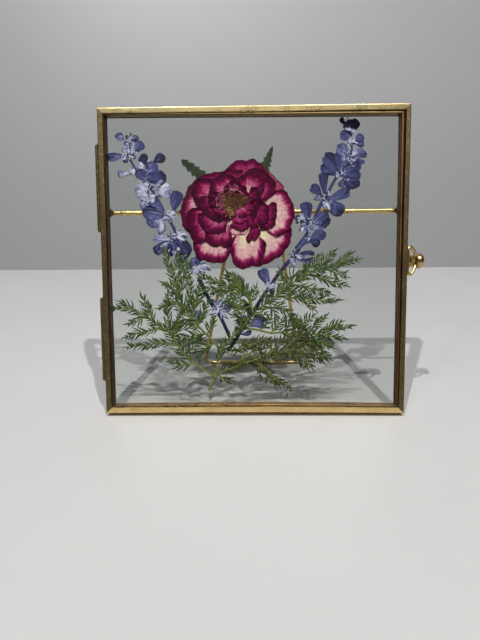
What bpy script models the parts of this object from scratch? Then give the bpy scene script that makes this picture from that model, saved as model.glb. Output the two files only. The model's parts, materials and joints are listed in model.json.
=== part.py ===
"""Pressed flower frame.

Two square brass frames hold a glass pane each and are hinged along the left side.
Pressed flowers lie between the panes. A sprung wire on the front frame grips the
neck of a knob on the back one, and a wire leg on a cross rod props the whole thing
up, leaning back.

Everything is laid out in the frame's own upright coordinates, with X to the right,
Y going back from the front face and Z up along the frame. One empty carries it all
and leans it back.
"""

import math

import bmesh
import bpy
from mathutils import Matrix, Vector

MM = 0.001

# The two frames
SIDE = 152 * MM
HALF = SIDE / 2
LEAN = math.radians(16)
RAIL_FACE = 3.1 * MM
RAIL_DEPTH = 3.85 * MM
RAIL_WALL = 0.5 * MM
RAIL_ROUND = 0.3 * MM
RAIL_ROUND_STEPS = 3
LIP_CHAMFER = 0.12 * MM
MITRE_GAP = 0.05 * MM
FRAME_SPACE = 0.3 * MM
THICKNESS = 2 * RAIL_DEPTH + FRAME_SPACE
BACK_FRAME_Y = RAIL_DEPTH + FRAME_SPACE

# The panes, each against the outer lip of its channel
GLASS = 1.5 * MM
GLASS_PLAY = 0.1 * MM
GLASS_HALF = HALF - RAIL_WALL - 0.25 * MM
FRONT_PANE_Y = RAIL_WALL + GLASS_PLAY
BACK_PANE_Y = THICKNESS - RAIL_WALL - GLASS_PLAY - GLASS
GLASS_EDGE = 0.15 * MM

# The two barrel hinges on the left side
SOLDER_GAP = 0.06 * MM
KNUCKLE_RADIUS = 1.15 * MM
KNUCKLE_BORE = 0.75 * MM
KNUCKLE_LENGTH = 21 * MM
KNUCKLE_SPACE = 0.3 * MM
HINGE_STAND_OFF = 0.3 * MM
HINGE_X = -HALF - HINGE_STAND_OFF - KNUCKLE_RADIUS
HINGE_Y = THICKNESS / 2
HINGE_HEIGHTS = {"lower": SIDE / 4, "upper": SIDE * 3 / 4}
PIN_RADIUS = 0.6 * MM
PIN_HEAD_RADIUS = 0.95 * MM
PIN_HEAD = 0.45 * MM
ROUND_STEPS = 16

# The knob on the back frame and the sprung wire on the door that grips its neck
CLASP_Z = 77 * MM
KNOB_Y = 6 * MM
KNOB_BASE_X = HALF + SOLDER_GAP
KNOB_BOSS_RADIUS = 2.6 * MM
KNOB_BOSS_LENGTH = 3.8 * MM
KNOB_NECK_RADIUS = 0.8 * MM
KNOB_HEAD_START = 6.1 * MM
KNOB_HEAD_RADIUS = 3.4 * MM
KNOB_LENGTH = 9.7 * MM
KNOB_STEPS = 16
GRIP_WIRE = 0.65 * MM
GRIP_Y = 2 * MM
GRIP_NECK_X = KNOB_BASE_X + (KNOB_BOSS_LENGTH + KNOB_HEAD_START) / 2
GRIP_HALF_WIDTH = 6.75 * MM
GRIP_WAIST = KNOB_NECK_RADIUS + GRIP_WIRE + 0.12 * MM
GRIP_STEP = 1.3 * MM

# The cross rod, its two lugs and the wire leg behind the back pane
ROD_RADIUS = 1.25 * MM
ROD_Y = THICKNESS + ROD_RADIUS + SOLDER_GAP
ROD_Z = 102.4 * MM
ROD_HALF = 71.7 * MM
ROD_NECK = 0.75 * MM
ROD_BEAD_X = 65.3 * MM
ROD_BEAD_RADIUS = 1.55 * MM
LUG_INNER_X = 72.1 * MM
LUG_LENGTH = 2.5 * MM
LUG_BORE = 0.9 * MM
LUG_FOOT = 1.9 * MM
LEG_WIRE = 1.05 * MM
LEG_TOP_DROP = 0.3 * MM
LEG_LENGTH = 100 * MM
LEG_TOPS_X = (-10.3 * MM, 12.4 * MM)
LEG_FEET_X = (-30.5 * MM, 28.5 * MM)
LEG_CORNER = 3.5 * MM
CORNER_STEPS = 5

# The layers that the flowers lie in, as depths behind the front face
ROSE_REAR_Y = 4.5 * MM
ROSE_LAYER = 0.38 * MM
PETAL_THICKNESS = 0.2 * MM
LEAF_FRONT_Y = 3.2 * MM
LEAF_MIDDLE_Y = 3.72 * MM
LEAF_REAR_Y = 4.24 * MM
LEAF_THICKNESS = 0.34 * MM
SIDE_TWIG_THICKNESS = 0.28 * MM
SEPAL_Y = 4.95 * MM
SPIKE_Y = 5.2 * MM
STEM_THICKNESS = 0.76 * MM
STEM_STEP = 6 * MM
FLORET_THICKNESS = 0.5 * MM
FLORET_STAGGER = 0.06 * MM
FLORET_POINTS = 7

CURVE_STEPS = 12
COLLECTION = "pressed_flower_frame"
HELPERS = "pressed_flower_frame_helpers"

# Colour, roughness and metallic value of each finish
FINISHES = {
    "frame_brass": ((0.42, 0.32, 0.17), 0.38, 1.0),
    "polished_brass": ((0.80, 0.61, 0.30), 0.18, 1.0),
    "clear_glass": ((0.90, 0.94, 0.93), 0.03, 0.0),
    "rose_petal": ((0.42, 0.03, 0.13), 0.65, 0.0),
    "rose_stamens": ((0.26, 0.17, 0.05), 0.8, 0.0),
    "leaf_green": ((0.08, 0.16, 0.04), 0.7, 0.0),
    "spike_blue": ((0.16, 0.15, 0.42), 0.7, 0.0),
}


# ---------------------------------------------------------------- helpers


def finish(name):
    """The material of one finish, made the first time it is asked for."""
    material = bpy.data.materials.get(name)
    if material:
        return material
    colour, roughness, metallic = FINISHES[name]
    material = bpy.data.materials.new(name)
    material.use_nodes = True
    shader = material.node_tree.nodes["Principled BSDF"]
    shader.inputs["Base Color"].default_value = (*colour, 1)
    shader.inputs["Roughness"].default_value = roughness
    shader.inputs["Metallic"].default_value = metallic
    if name == "clear_glass":
        shader.inputs["Transmission Weight"].default_value = 1
        shader.inputs["IOR"].default_value = 1.5
    return material


def clear_scene():
    for obj in list(bpy.data.objects):
        bpy.data.objects.remove(obj, do_unlink=True)
    for name in (COLLECTION, HELPERS):
        bpy.context.scene.collection.children.link(bpy.data.collections.new(name))


def add_object(name, data, finish_name=None, collection=COLLECTION):
    obj = bpy.data.objects.new(name, data)
    if finish_name:
        data.materials.append(finish(finish_name))
    bpy.data.collections[collection].objects.link(obj)
    return obj


def add_empty(name, carrier=None, at=(0, 0, 0), turn=(0, 0, 0)):
    """An empty at a point of the upright frame, which later pieces hang from."""
    empty = add_object(name, None)
    empty.empty_display_size = 5 * MM
    empty["anchor"] = tuple(at)
    hang(empty, carrier, at, turn)
    return empty


def hang(obj, carrier, at=(0, 0, 0), turn=(0, 0, 0)):
    """Hangs obj from carrier, at a point given in the upright frame's coordinates."""
    obj.parent = carrier
    anchor = Vector(carrier["anchor"]) if carrier else Vector()
    obj.location = Vector(at) - anchor
    obj.rotation_euler = turn


def mesh_from(build):
    """A mesh filled by build, a function that is given an empty bmesh."""
    bm = bmesh.new()
    build(bm)
    bmesh.ops.recalc_face_normals(bm, faces=bm.faces)
    mesh = bpy.data.meshes.new("shape")
    bm.to_mesh(mesh)
    bm.free()
    return mesh


def turned_piece(name, profile, finish_name, steps=ROUND_STEPS):
    """A piece turned about Z. The profile lists (radius, height), top to bottom."""
    mesh = bpy.data.meshes.new(name)
    points = [(radius, 0, height) for radius, height in profile]
    mesh.from_pydata(points, [(i, i + 1) for i in range(len(points) - 1)], [])
    obj = add_object(name, mesh, finish_name)
    screw = obj.modifiers.new("turn", "SCREW")
    screw.axis = "Z"
    screw.steps = steps
    screw.render_steps = steps
    screw.use_merge_vertices = True
    screw.merge_threshold = 0.002 * MM
    screw.use_smooth_shade = True
    return obj


def wire_piece(name, points, radius, finish_name):
    """A round wire along a path of points, with closed ends."""
    curve = bpy.data.curves.new(name, "CURVE")
    curve.dimensions = "3D"
    curve.bevel_depth = radius
    curve.bevel_resolution = 2
    curve.use_fill_caps = True
    spline = curve.splines.new("POLY")
    spline.points.add(len(points) - 1)
    for target, point in zip(spline.points, points):
        target.co = (*point, 1)
    return add_object(name, curve, finish_name)


def plate_curve(name, outlines, thickness):
    """A flat 2D curve filled inside its outlines and extruded to a thickness."""
    curve = bpy.data.curves.new(name, "CURVE")
    curve.dimensions = "2D"
    curve.fill_mode = "BOTH"
    curve.extrude = thickness / 2
    for outline in outlines:
        spline = curve.splines.new("POLY")
        spline.points.add(len(outline) - 1)
        for target, (x, y) in zip(spline.points, outline):
            target.co = (x, y, 0, 1)
        spline.use_cyclic_u = True
    return curve


def plate_mesh(name, outline, thickness):
    """The same plate as a welded mesh, which a Boolean can join."""
    curve = plate_curve(name, [outline], thickness)
    holder = bpy.data.objects.new(name, curve)
    bpy.data.collections[HELPERS].objects.link(holder)
    graph = bpy.context.evaluated_depsgraph_get()
    mesh = bpy.data.meshes.new_from_object(holder.evaluated_get(graph))
    bpy.data.objects.remove(holder)
    bpy.data.curves.remove(curve)
    bm = bmesh.new()
    bm.from_mesh(mesh)
    bmesh.ops.remove_doubles(bm, verts=bm.verts, dist=0.001 * MM)
    bmesh.ops.recalc_face_normals(bm, faces=bm.faces)
    bm.to_mesh(mesh)
    bm.free()
    return mesh


UPRIGHT = (math.pi / 2, 0, 0)


def pressed_piece(name, outline, depth, thickness, finish_name, carrier):
    """A flat pressed piece standing in the frame, its outline in X and Z."""
    obj = add_object(name, plate_mesh(name, outline, thickness), finish_name)
    hang(obj, carrier, (0, depth, 0), UPRIGHT)
    return obj


def fuse(obj, outlines, depth, thickness, stagger, carrier):
    """Joins more plates to a pressed piece, as growth of the same plant part.

    Their depths step by a stagger, so that no two neighbours lie in one plane.
    """
    grown = bpy.data.collections.new(obj.name + "_growth")
    bpy.data.collections[HELPERS].children.link(grown)
    for index, outline in enumerate(outlines):
        name = f"{obj.name}_growth_{index}"
        part = bpy.data.objects.new(name, plate_mesh(name, outline, thickness))
        grown.objects.link(part)
        part.hide_render = True
        part.display_type = "WIRE"
        hang(part, carrier, (0, depth + (index % 3 - 1) * stagger, 0), UPRIGHT)
    grown.hide_render = True
    join = obj.modifiers.new("growth", "BOOLEAN")
    join.operation = "UNION"
    join.operand_type = "COLLECTION"
    join.collection = grown
    join.solver = "EXACT"


def arc(centre, radius, start, end, steps):
    """Points on an arc in a plane, its angles in degrees."""
    angles = [math.radians(start + (end - start) * i / steps) for i in range(steps + 1)]
    return [
        (centre[0] + radius * math.cos(a), centre[1] + radius * math.sin(a)) for a in angles
    ]


def smooth_path(points, step):
    """Points about a step apart along a smooth curve through the given ones."""
    points = [Vector(point) for point in points]
    padded = [points[0] * 2 - points[1], *points, points[-1] * 2 - points[-2]]
    fine = []
    for a, b, c, d in zip(padded, padded[1:], padded[2:], padded[3:]):
        for i in range(CURVE_STEPS):
            t = i / CURVE_STEPS
            bend = (a * 2 - b * 5 + c * 4 - d) * t**2 + (b * 3 - a - c * 3 + d) * t**3
            fine.append(b + ((c - a) * t + bend) / 2)
    path, travelled = [fine[0]], 0
    for before, after in zip(fine, fine[1:]):
        travelled += (after - before).length
        if travelled >= step:
            path.append(after)
            travelled = 0
    return [*path, points[-1]]


# ---------------------------------------------------------------- frames


def channel_profile():
    """The brass channel's section as (distance in from the outer side, depth)."""
    near, far = RAIL_ROUND, RAIL_DEPTH - RAIL_ROUND
    return [
        (RAIL_FACE, LIP_CHAMFER),
        (RAIL_FACE - LIP_CHAMFER, 0),
        *arc((near, near), RAIL_ROUND, 270, 180, RAIL_ROUND_STEPS),
        *arc((near, far), RAIL_ROUND, 180, 90, RAIL_ROUND_STEPS),
        (RAIL_FACE - LIP_CHAMFER, RAIL_DEPTH),
        (RAIL_FACE, RAIL_DEPTH - LIP_CHAMFER),
        (RAIL_FACE, RAIL_DEPTH - RAIL_WALL),
        (RAIL_WALL, RAIL_DEPTH - RAIL_WALL),
        (RAIL_WALL, RAIL_WALL),
        (RAIL_FACE, RAIL_WALL),
    ]


def build_rail(bm):
    """A bottom rail about the frame's middle: the channel, run out and mitred.

    Each point of the section runs as far sideways as it lies from the middle, so
    both ends are cut at 45 degrees.
    """
    ends = []
    for side in (-1, 1):
        ring = []
        for inward, depth in channel_profile():
            reach = HALF - inward - MITRE_GAP
            ring.append(bm.verts.new((side * reach, depth, inward - HALF)))
        ends.append(ring)
    left, right = ends
    count = len(left)
    bm.faces.new(left)
    bm.faces.new(right)
    for i in range(count):
        j = (i + 1) % count
        bm.faces.new((left[i], left[j], right[j], right[i]))


def build_pane(bm):
    bmesh.ops.create_cube(bm, size=1)
    size = (2 * GLASS_HALF, GLASS, 2 * GLASS_HALF)
    bmesh.ops.transform(bm, matrix=Matrix.Diagonal((*size, 1)), verts=bm.verts)
    bmesh.ops.bevel(bm, geom=bm.edges, offset=GLASS_EDGE, segments=1, affect="EDGES")


def make_frame(prefix, front_y, pane_y, carrier):
    """Four mitred rails and the pane that they hold."""
    turns = {"bottom": 0, "left": 90, "top": 180, "right": 270}
    middle = (0, front_y, HALF)
    for side, degrees in turns.items():
        rail = add_object(f"{prefix}_{side}_rail", mesh_from(build_rail), "frame_brass")
        hang(rail, carrier, middle, (0, math.radians(degrees), 0))
    pane = add_object(f"{prefix}_glass", mesh_from(build_pane), "clear_glass")
    hang(pane, carrier, (0, pane_y + GLASS / 2, HALF))


# ---------------------------------------------------------------- hinges


def knuckle_outline(toward_back):
    """A barrel with the solder pad that joins it to its rail, seen from above.

    The barrel's middle is at zero and the rail is on its right, in front of the
    hinge line or behind it.
    """
    pad_x = HINGE_STAND_OFF + KNUCKLE_RADIUS - SOLDER_GAP
    pad_near, pad_far = 0.45 * MM, 1.6 * MM
    meet = math.degrees(math.asin(pad_near / KNUCKLE_RADIUS))
    outline = arc((0, 0), KNUCKLE_RADIUS, -meet, 280, ROUND_STEPS)
    outline += [(pad_x, -pad_far), (pad_x, -pad_near)]
    return [(x, -y) for x, y in outline] if toward_back else outline


def make_knuckle(name, middle_z, toward_back, carrier):
    bore = arc((0, 0), KNUCKLE_BORE, 0, 360, ROUND_STEPS)[:-1]
    outlines = [knuckle_outline(toward_back), bore]
    length = KNUCKLE_LENGTH - KNUCKLE_SPACE
    knuckle = add_object(name, plate_curve(name, outlines, length), "frame_brass")
    hang(knuckle, carrier, (HINGE_X, HINGE_Y, middle_z))


def make_hinges(root, door):
    reach = KNUCKLE_LENGTH + 0.1 * MM
    pin_profile = [
        (0, reach + PIN_HEAD),
        (PIN_HEAD_RADIUS * 0.7, reach + PIN_HEAD),
        (PIN_HEAD_RADIUS, reach + PIN_HEAD / 2),
        (PIN_HEAD_RADIUS, reach),
        (PIN_RADIUS, reach),
    ]
    pin_profile += [(radius, -height) for radius, height in reversed(pin_profile)]
    for place, height in HINGE_HEIGHTS.items():
        above, below = height + KNUCKLE_LENGTH / 2, height - KNUCKLE_LENGTH / 2
        make_knuckle(f"{place}_hinge_door_knuckle", above, False, door)
        make_knuckle(f"{place}_hinge_back_knuckle", below, True, root)
        pin = turned_piece(f"{place}_hinge_pin", pin_profile, "frame_brass", 10)
        hang(pin, root, (HINGE_X, HINGE_Y, height))


# ---------------------------------------------------------------- clasp


def knob_profile():
    """The knob from its round head down to the boss on the rail's side."""
    head_half = (KNOB_LENGTH - KNOB_HEAD_START) / 2
    head_middle = KNOB_LENGTH - head_half
    head = [
        (KNOB_HEAD_RADIUS * math.sin(a), head_middle + head_half * math.cos(a))
        for a in (math.radians(d) for d in range(0, 160, 20))
    ]
    boss = [
        (KNOB_BOSS_RADIUS * math.sin(a), KNOB_BOSS_LENGTH * (0.5 + 0.5 * math.cos(a)))
        for a in (math.radians(d) for d in (30, 50, 70, 90))
    ]
    neck = [(KNOB_NECK_RADIUS, KNOB_HEAD_START), (KNOB_NECK_RADIUS, KNOB_BOSS_LENGTH)]
    base = [(KNOB_BOSS_RADIUS, 0.2 * MM), (KNOB_BOSS_RADIUS - 0.2 * MM, 0), (0, 0)]
    return head + neck + boss + base


def grip_points():
    """The wire that grips the knob, as (x, y, height above the knob's axis).

    Its middle is soldered upright on the door's side. Both ends come out, close in
    on the knob's neck and flare apart again behind it, so that they spring on and
    off as the door shuts and opens.
    """
    base_x = HALF + SOLDER_GAP + GRIP_WIRE
    half = [
        (base_x, GRIP_Y, 0),
        (base_x, GRIP_Y, GRIP_HALF_WIDTH * 0.5),
        (base_x, GRIP_Y, GRIP_HALF_WIDTH * 0.87),
        (base_x + 1.2 * MM, GRIP_Y + 0.7 * MM, GRIP_HALF_WIDTH),
        (base_x + 2.5 * MM, GRIP_Y + 2 * MM, GRIP_HALF_WIDTH * 0.72),
        (GRIP_NECK_X, KNOB_Y, GRIP_WAIST + 0.2 * MM),
        (GRIP_NECK_X, KNOB_Y + 1.2 * MM, GRIP_WAIST),
        (GRIP_NECK_X, KNOB_Y + 2.9 * MM, GRIP_WAIST + 0.9 * MM),
    ]
    other = [(x, y, -height) for x, y, height in reversed(half[1:])]
    return smooth_path(other + half, GRIP_STEP)


def make_clasp(root, door):
    knob = turned_piece("clasp_knob", knob_profile(), "polished_brass", KNOB_STEPS)
    hang(knob, root, (KNOB_BASE_X, KNOB_Y, CLASP_Z), (0, math.pi / 2, 0))
    grip = wire_piece("clasp_grip", grip_points(), GRIP_WIRE, "polished_brass")
    hang(grip, door, (0, 0, CLASP_Z))


# ---------------------------------------------------------------- stand


def rod_profile():
    """The cross rod with its necked ends and the bead of solder near one end."""
    neck_end = LUG_INNER_X + LUG_LENGTH
    bead = [
        (ROD_RADIUS, 1.7 * MM),
        (ROD_BEAD_RADIUS, 0.9 * MM),
        (ROD_RADIUS * 1.05, 0),
        (ROD_BEAD_RADIUS * 0.95, -0.8 * MM),
        (ROD_RADIUS, -1.6 * MM),
    ]
    return [
        (0, neck_end),
        (ROD_NECK, neck_end),
        (ROD_NECK, ROD_HALF),
        (ROD_RADIUS - 0.2 * MM, ROD_HALF),
        (ROD_RADIUS, ROD_HALF - 0.2 * MM),
        *((radius, ROD_BEAD_X + along) for radius, along in bead),
        (ROD_RADIUS, 0.2 * MM - ROD_HALF),
        (ROD_RADIUS - 0.2 * MM, -ROD_HALF),
        (ROD_NECK, -ROD_HALF),
        (ROD_NECK, -neck_end),
        (0, -neck_end),
    ]


def lug_outline():
    """A lug seen along the rod: a ring on a foot that spreads on the back rail."""
    foot_x = ROD_Y - THICKNESS - SOLDER_GAP
    ring_radius = LUG_BORE + 0.45 * MM
    ring = arc((0, 0), ring_radius, -75, 75, ROUND_STEPS // 2)
    return ring + [(-foot_x, LUG_FOOT), (-foot_x, -LUG_FOOT)]


def leg_points():
    """The leg's wire below the rod's middle: down, along the foot bar and up."""
    (left_top, right_top), (left_foot, right_foot) = LEG_TOPS_X, LEG_FEET_X
    top_z = -ROD_RADIUS - LEG_TOP_DROP
    left = corner_arc((left_top, top_z), (left_foot, -LEG_LENGTH), (0, -LEG_LENGTH))
    right = corner_arc((0, -LEG_LENGTH), (right_foot, -LEG_LENGTH), (right_top, top_z))
    path = [(left_top, top_z), *left, *right, (right_top, top_z)]
    return [(x, 0, z) for x, z in path]


def corner_arc(before, corner, after):
    """A rounded corner: a blend that leaves one straight run and joins the next."""
    before, corner, after = Vector(before), Vector(corner), Vector(after)
    start = corner + (before - corner).normalized() * LEG_CORNER
    end = corner + (after - corner).normalized() * LEG_CORNER
    points = []
    for i in range(CORNER_STEPS + 1):
        t = i / CORNER_STEPS
        points.append(start * (1 - t) ** 2 + corner * 2 * t * (1 - t) + end * t**2)
    return [tuple(point) for point in points]


def rest_height():
    """How far the leaning frame is lifted so that its rounded edge meets the floor."""
    edge_y = THICKNESS - RAIL_ROUND
    return edge_y * math.sin(LEAN) - RAIL_ROUND * math.cos(LEAN) + RAIL_ROUND


def upright_to_level(y, z):
    """A point of the upright frame as it lies once the frame leans back."""
    back = y * math.cos(LEAN) + z * math.sin(LEAN)
    height = z * math.cos(LEAN) - y * math.sin(LEAN) + rest_height()
    return back, height


def leg_reach():
    """The leg's swing back from upright, and how far behind the rod its foot is."""
    drop = upright_to_level(ROD_Y, ROD_Z)[1] - LEG_WIRE
    return math.acos(drop / LEG_LENGTH), math.sqrt(LEG_LENGTH**2 - drop**2)


def make_stand(root):
    for place, side in (("left", -1), ("right", 1)):
        name = f"stand_{place}_lug"
        bore = arc((0, 0), LUG_BORE, 0, 360, ROUND_STEPS)[:-1]
        lug = add_object(
            name, plate_curve(name, [lug_outline(), bore], LUG_LENGTH), "frame_brass"
        )
        middle_x = side * (LUG_INNER_X + LUG_LENGTH / 2)
        hang(lug, root, (middle_x, ROD_Y, ROD_Z), (math.pi / 2, 0, math.pi / 2))
    swing = leg_reach()[0] + LEAN
    pivot = add_empty("stand_pivot", root, (0, ROD_Y, ROD_Z), (swing, 0, 0))
    rod = turned_piece("stand_rod", rod_profile(), "polished_brass", 12)
    hang(rod, pivot, (0, ROD_Y, ROD_Z), (0, -math.pi / 2, 0))
    leg = wire_piece("stand_leg", leg_points(), LEG_WIRE, "polished_brass")
    hang(leg, pivot, (0, ROD_Y, ROD_Z))


# ---------------------------------------------------------------- plants


def in_metres(points):
    return [Vector(point) * MM for point in points]


def along(path, distance):
    """The point of a path at a distance from its start."""
    for before, after in zip(path, path[1:]):
        length = (after - before).length
        if distance <= length:
            return before.lerp(after, distance / length)
        distance -= length
    return path[-1]


def sideways(path, index):
    """The unit direction along a path at one of its points, and the one to its left."""
    ahead = path[min(index + 1, len(path) - 1)]
    behind = path[max(index - 1, 0)]
    forward = (ahead - behind).normalized()
    return forward, Vector((-forward.y, forward.x))


def ribbon(path, start_width, end_width):
    """A stem's outline, tapering along its path."""
    left, right = [], []
    for index, point in enumerate(path):
        half = start_width + (end_width - start_width) * index / (len(path) - 1)
        offset = sideways(path, index)[1] * half / 2
        left.append(point + offset)
        right.append(point - offset)
    return [tuple(point) for point in left + right[::-1]]


def petal(base, tip, width, ruffle=0.0, count=12, narrow=0.5):
    """A petal's outline: an egg, narrower at its base, with a ruffled rim."""
    base, tip = Vector(base) * MM, Vector(tip) * MM
    forward = tip - base
    across = Vector((-forward.y, forward.x)).normalized() * width * MM / 2
    points = []
    for i in range(count):
        angle = 2 * math.pi * i / count
        reach = (1 - math.cos(angle)) / 2
        swell = narrow + (1 - narrow) * reach
        wave = 1 + ruffle * math.sin(5 * angle + width)
        point = base + forward * reach + across * math.sin(angle) * swell * wave
        points.append(tuple(point))
    return points


ROSE_CENTRE = (-8.6, 107.8)

# Petal name: direction in degrees, start and end distance from the centre in mm,
# width in mm, layer counted from the rear
ROSE_PETALS = {
    "top_back": (68, 8, 21, 21, 1),
    "upper_right_back": (20, 9, 25, 17, 0),
    "left_outer": (174, 10, 29, 17, 0),
    "left_lower": (209, 10, 29, 19, 1),
    "bottom_left": (243, 10, 34, 19, 0),
    "bottom_centre": (278, 10, 35, 21, 1),
    "bottom_right": (311, 10, 34, 19, 0),
    "right_outer": (345, 10, 31, 23, 1),
    "left_upper": (160, 4, 22, 15, 2),
    "upper_right": (25, 4, 20.5, 15, 2),
    "lower_left": (228, 4, 25, 15, 2),
    "right_lower": (318, 4, 22, 13, 2),
    "upper_left_inner": (115, 2.5, 13, 12, 3),
    "left_inner": (200, 2.5, 17, 12, 3),
    "right_inner": (352, 2.5, 19, 12, 3),
    "lower_inner": (278, 2.5, 16, 14, 3),
    "upper_right_inner": (52, 2.5, 14, 14, 3),
}


def make_rose(root):
    centre = Vector(ROSE_CENTRE)
    for name, (degrees, start, end, width, layer) in ROSE_PETALS.items():
        angle = math.radians(degrees)
        heading = Vector((math.cos(angle), math.sin(angle)))
        outline = petal(centre + heading * start, centre + heading * end, width, 0.05, 16, 0.3)
        depth = ROSE_REAR_Y - layer * ROSE_LAYER
        pressed_piece(
            f"rose_petal_{name}", outline, depth, PETAL_THICKNESS, "rose_petal", root
        )
    tufts = []
    for i in range(28):
        angle = 2 * math.pi * i / 28
        reach = (5.6 if i % 2 else 4.4) * MM
        middle = centre * MM
        tufts.append((middle.x + reach * math.cos(angle), middle.y + reach * math.sin(angle)))
    depth = ROSE_REAR_Y - 4.6 * ROSE_LAYER
    pressed_piece("rose_stamens", tufts, depth, 0.5 * MM, "rose_stamens", root)
    for name, base, tip in (("left", (-22, 118), (-36, 128)), ("right", (4, 120), (9.5, 134))):
        outline = petal(base, tip, 4.6, 0.12, 14, 0.9)
        pressed_piece(f"rose_sepal_{name}", outline, SEPAL_Y, 0.3 * MM, "leaf_green", root)


LEFT_STEM = ((-61.5, 128), (-53.5, 116), (-44, 101.5), (-28, 68.5), (-22.5, 57.5), (-12.5, 39))
RIGHT_STEM = (
    (47.5, 140), (48.3, 130), (43.3, 121), (36, 108.5), (21.3, 83.5), (6.4, 62.4), (-13, 32)
)

# Each floret: distance of its root down the stem, its tip, and its width, in mm
LEFT_FLORETS = (
    (0.5, (-67, 140.5), 3.6), (1, (-62.5, 141.5), 3), (1.5, (-57.5, 140), 3),
    (2.5, (-54.8, 136), 3), (2, (-72.8, 129.5), 3.4), (4, (-66, 121), 3),
    (5, (-53, 129.5), 4), (7, (-45.5, 129), 4), (7, (-61, 120.5), 3),
    (9, (-49, 124), 4), (12, (-45, 120), 4), (14, (-58, 113), 3),
    (17, (-42.5, 115), 4), (19, (-56, 109.5), 3.4), (23, (-37.5, 111.5), 7),
    (24, (-53, 106), 4), (30, (-39.5, 101), 4), (31, (-57.5, 99.5), 10),
    (38, (-49, 93.5), 5), (43, (-48, 88), 4), (47, (-48.5, 82.5), 5),
    (49, (-34, 90), 4), (48, (-33.5, 80.5), 7), (57, (-38, 76.5), 5),
    (60, (-29, 78.5), 4), (62, (-26.5, 73.5), 5), (63, (-23, 76), 4),
    (78, (-13.5, 58.5), 5), (81, (-11.5, 54.5), 4), (84, (-13, 50), 4), (82, (-26, 52.5), 4),
)
RIGHT_FLORETS = (
    (0.5, (44, 146.8), 3.6), (0.5, (51, 145.5), 3.6), (3, (43.5, 139.8), 4),
    (4, (54.5, 138), 5), (9, (41.5, 132), 4), (9.5, (55, 130.3), 4),
    (14, (37, 129), 4), (15, (53, 125), 4), (19, (35, 123.5), 4),
    (20, (52, 119.8), 4), (24, (33, 118.5), 4), (25, (53, 115.5), 5),
    (29, (30, 114), 4), (31, (47, 112), 4), (36, (29.5, 108.5), 4),
    (40, (44.5, 104.5), 6), (44, (24, 104.5), 5), (48, (38, 99.5), 4),
    (50, (20.5, 99), 4), (55, (22, 96), 3), (57, (36.5, 92), 5),
    (61, (21.5, 91), 3), (64, (33, 87), 4), (70, (31, 79), 4),
    (85, (1.5, 75.5), 4), (89, (11, 59.5), 3.4), (98, (-4, 56), 3.4), (104, (-9.5, 49.5), 4.5),
)
LOOSE_PETALS = {
    "lower_right": ((-1.5, 43.5), (6, 47.5), 4.4),
    "lower_left": ((-31, 47.5), (-28.5, 54), 3.6),
}


def make_spike(name, stem_points, florets, root):
    """A flower spike: its stem, with the florets grown onto it."""
    path = smooth_path(in_metres(stem_points), STEM_STEP)
    stem = pressed_piece(
        name, ribbon(path, 1.2 * MM, 1.9 * MM), SPIKE_Y, STEM_THICKNESS, "spike_blue", root
    )
    outlines = []
    for distance, tip, width in florets:
        base = along(path, distance * MM) / MM
        outlines.append(petal(base, tip, width, 0, FLORET_POINTS, 0.55))
    fuse(stem, outlines, SPIKE_Y, FLORET_THICKNESS, FLORET_STAGGER, root)


def make_spikes(root):
    make_spike("left_spike", LEFT_STEM, LEFT_FLORETS, root)
    make_spike("right_spike", RIGHT_STEM, RIGHT_FLORETS, root)
    for name, (base, tip, width) in LOOSE_PETALS.items():
        pressed_piece(
            f"loose_petal_{name}", petal(base, tip, width), SPIKE_Y, 0.3 * MM, "spike_blue", root
        )


# Each sprig: its main twig from fork to tip, its side twigs, its depth, and how long
# its leaflets are, in mm
SPRIGS = {
    "left_sprig": (
        ((-23.6, 11.5), (-21.4, 16), (-32, 26), (-42.5, 38), (-50, 46), (-59, 50.5), (-72, 55)),
        (((-51, 46.6), (-56.5, 59)), ((-46, 42.5), (-64.6, 39)), ((-43, 38.5), (-63, 33.5)),
         ((-41.5, 37), (-44, 58)), ((-33, 27), (-43.5, 26.5))),
        LEAF_MIDDLE_Y, 4.4,
    ),
    "inner_left_sprig": (
        ((-17.8, 31.5), (-22.7, 39.5), (-34.3, 52.4), (-40, 67.5), (-45.4, 82)),
        (((-35, 54), (-47.5, 68)), ((-33, 51), (-31, 67)), ((-22.7, 39.5), (-34, 41))),
        LEAF_REAR_Y, 4.4,
    ),
    "right_sprig": (
        ((-20, 18.3), (-17, 31), (-9.8, 40), (-1, 50.3), (12.7, 60.5), (26.6, 70), (50.6, 77.5)),
        (((26, 69.5), (37, 81.5)), ((18.5, 66), (29, 78)), ((20, 67), (45, 64.5)),
         ((12, 60), (41.7, 57.6)), ((6, 56), (21.4, 47))),
        LEAF_MIDDLE_Y, 4.4,
    ),
    "lower_right_sprig": (
        ((-4, 43.2), (7.3, 41.4), (19.5, 40.3), (34, 40.8), (49, 44.2)),
        (((12, 41), (28.6, 49.2)), ((24, 40.3), (38, 49)), ((19, 40.4), (38.6, 33.9)),
         ((30, 40.3), (45, 37))),
        LEAF_REAR_Y, 3.8,
    ),
    "bottom_sprig": (
        ((-17, 22.2), (-9, 23.6), (0, 25.5), (9.7, 30), (20, 32), (33, 28)),
        (((4, 27.5), (18, 22)), ((9, 29.8), (26, 36.5))),
        LEAF_FRONT_Y, 3.8,
    ),
    "bottom_twig": (
        ((2, 24.8), (7.5, 20.5), (18.6, 13)),
        (),
        LEAF_MIDDLE_Y, 3.8,
    ),
    "upper_sprig": (
        ((-2.6, 52.6), (-3.4, 58.5), (-7.5, 63), (-13, 68)),
        (((-5.5, 61.2), (-17, 62.5), (-26, 68.5)),),
        LEAF_FRONT_Y, 3.8,
    ),
}
LEAFLET_SPACING = 5.0 * MM
LEAFLET_ANGLE = math.radians(40)
TWIG_WIDTH = 1.0


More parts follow.
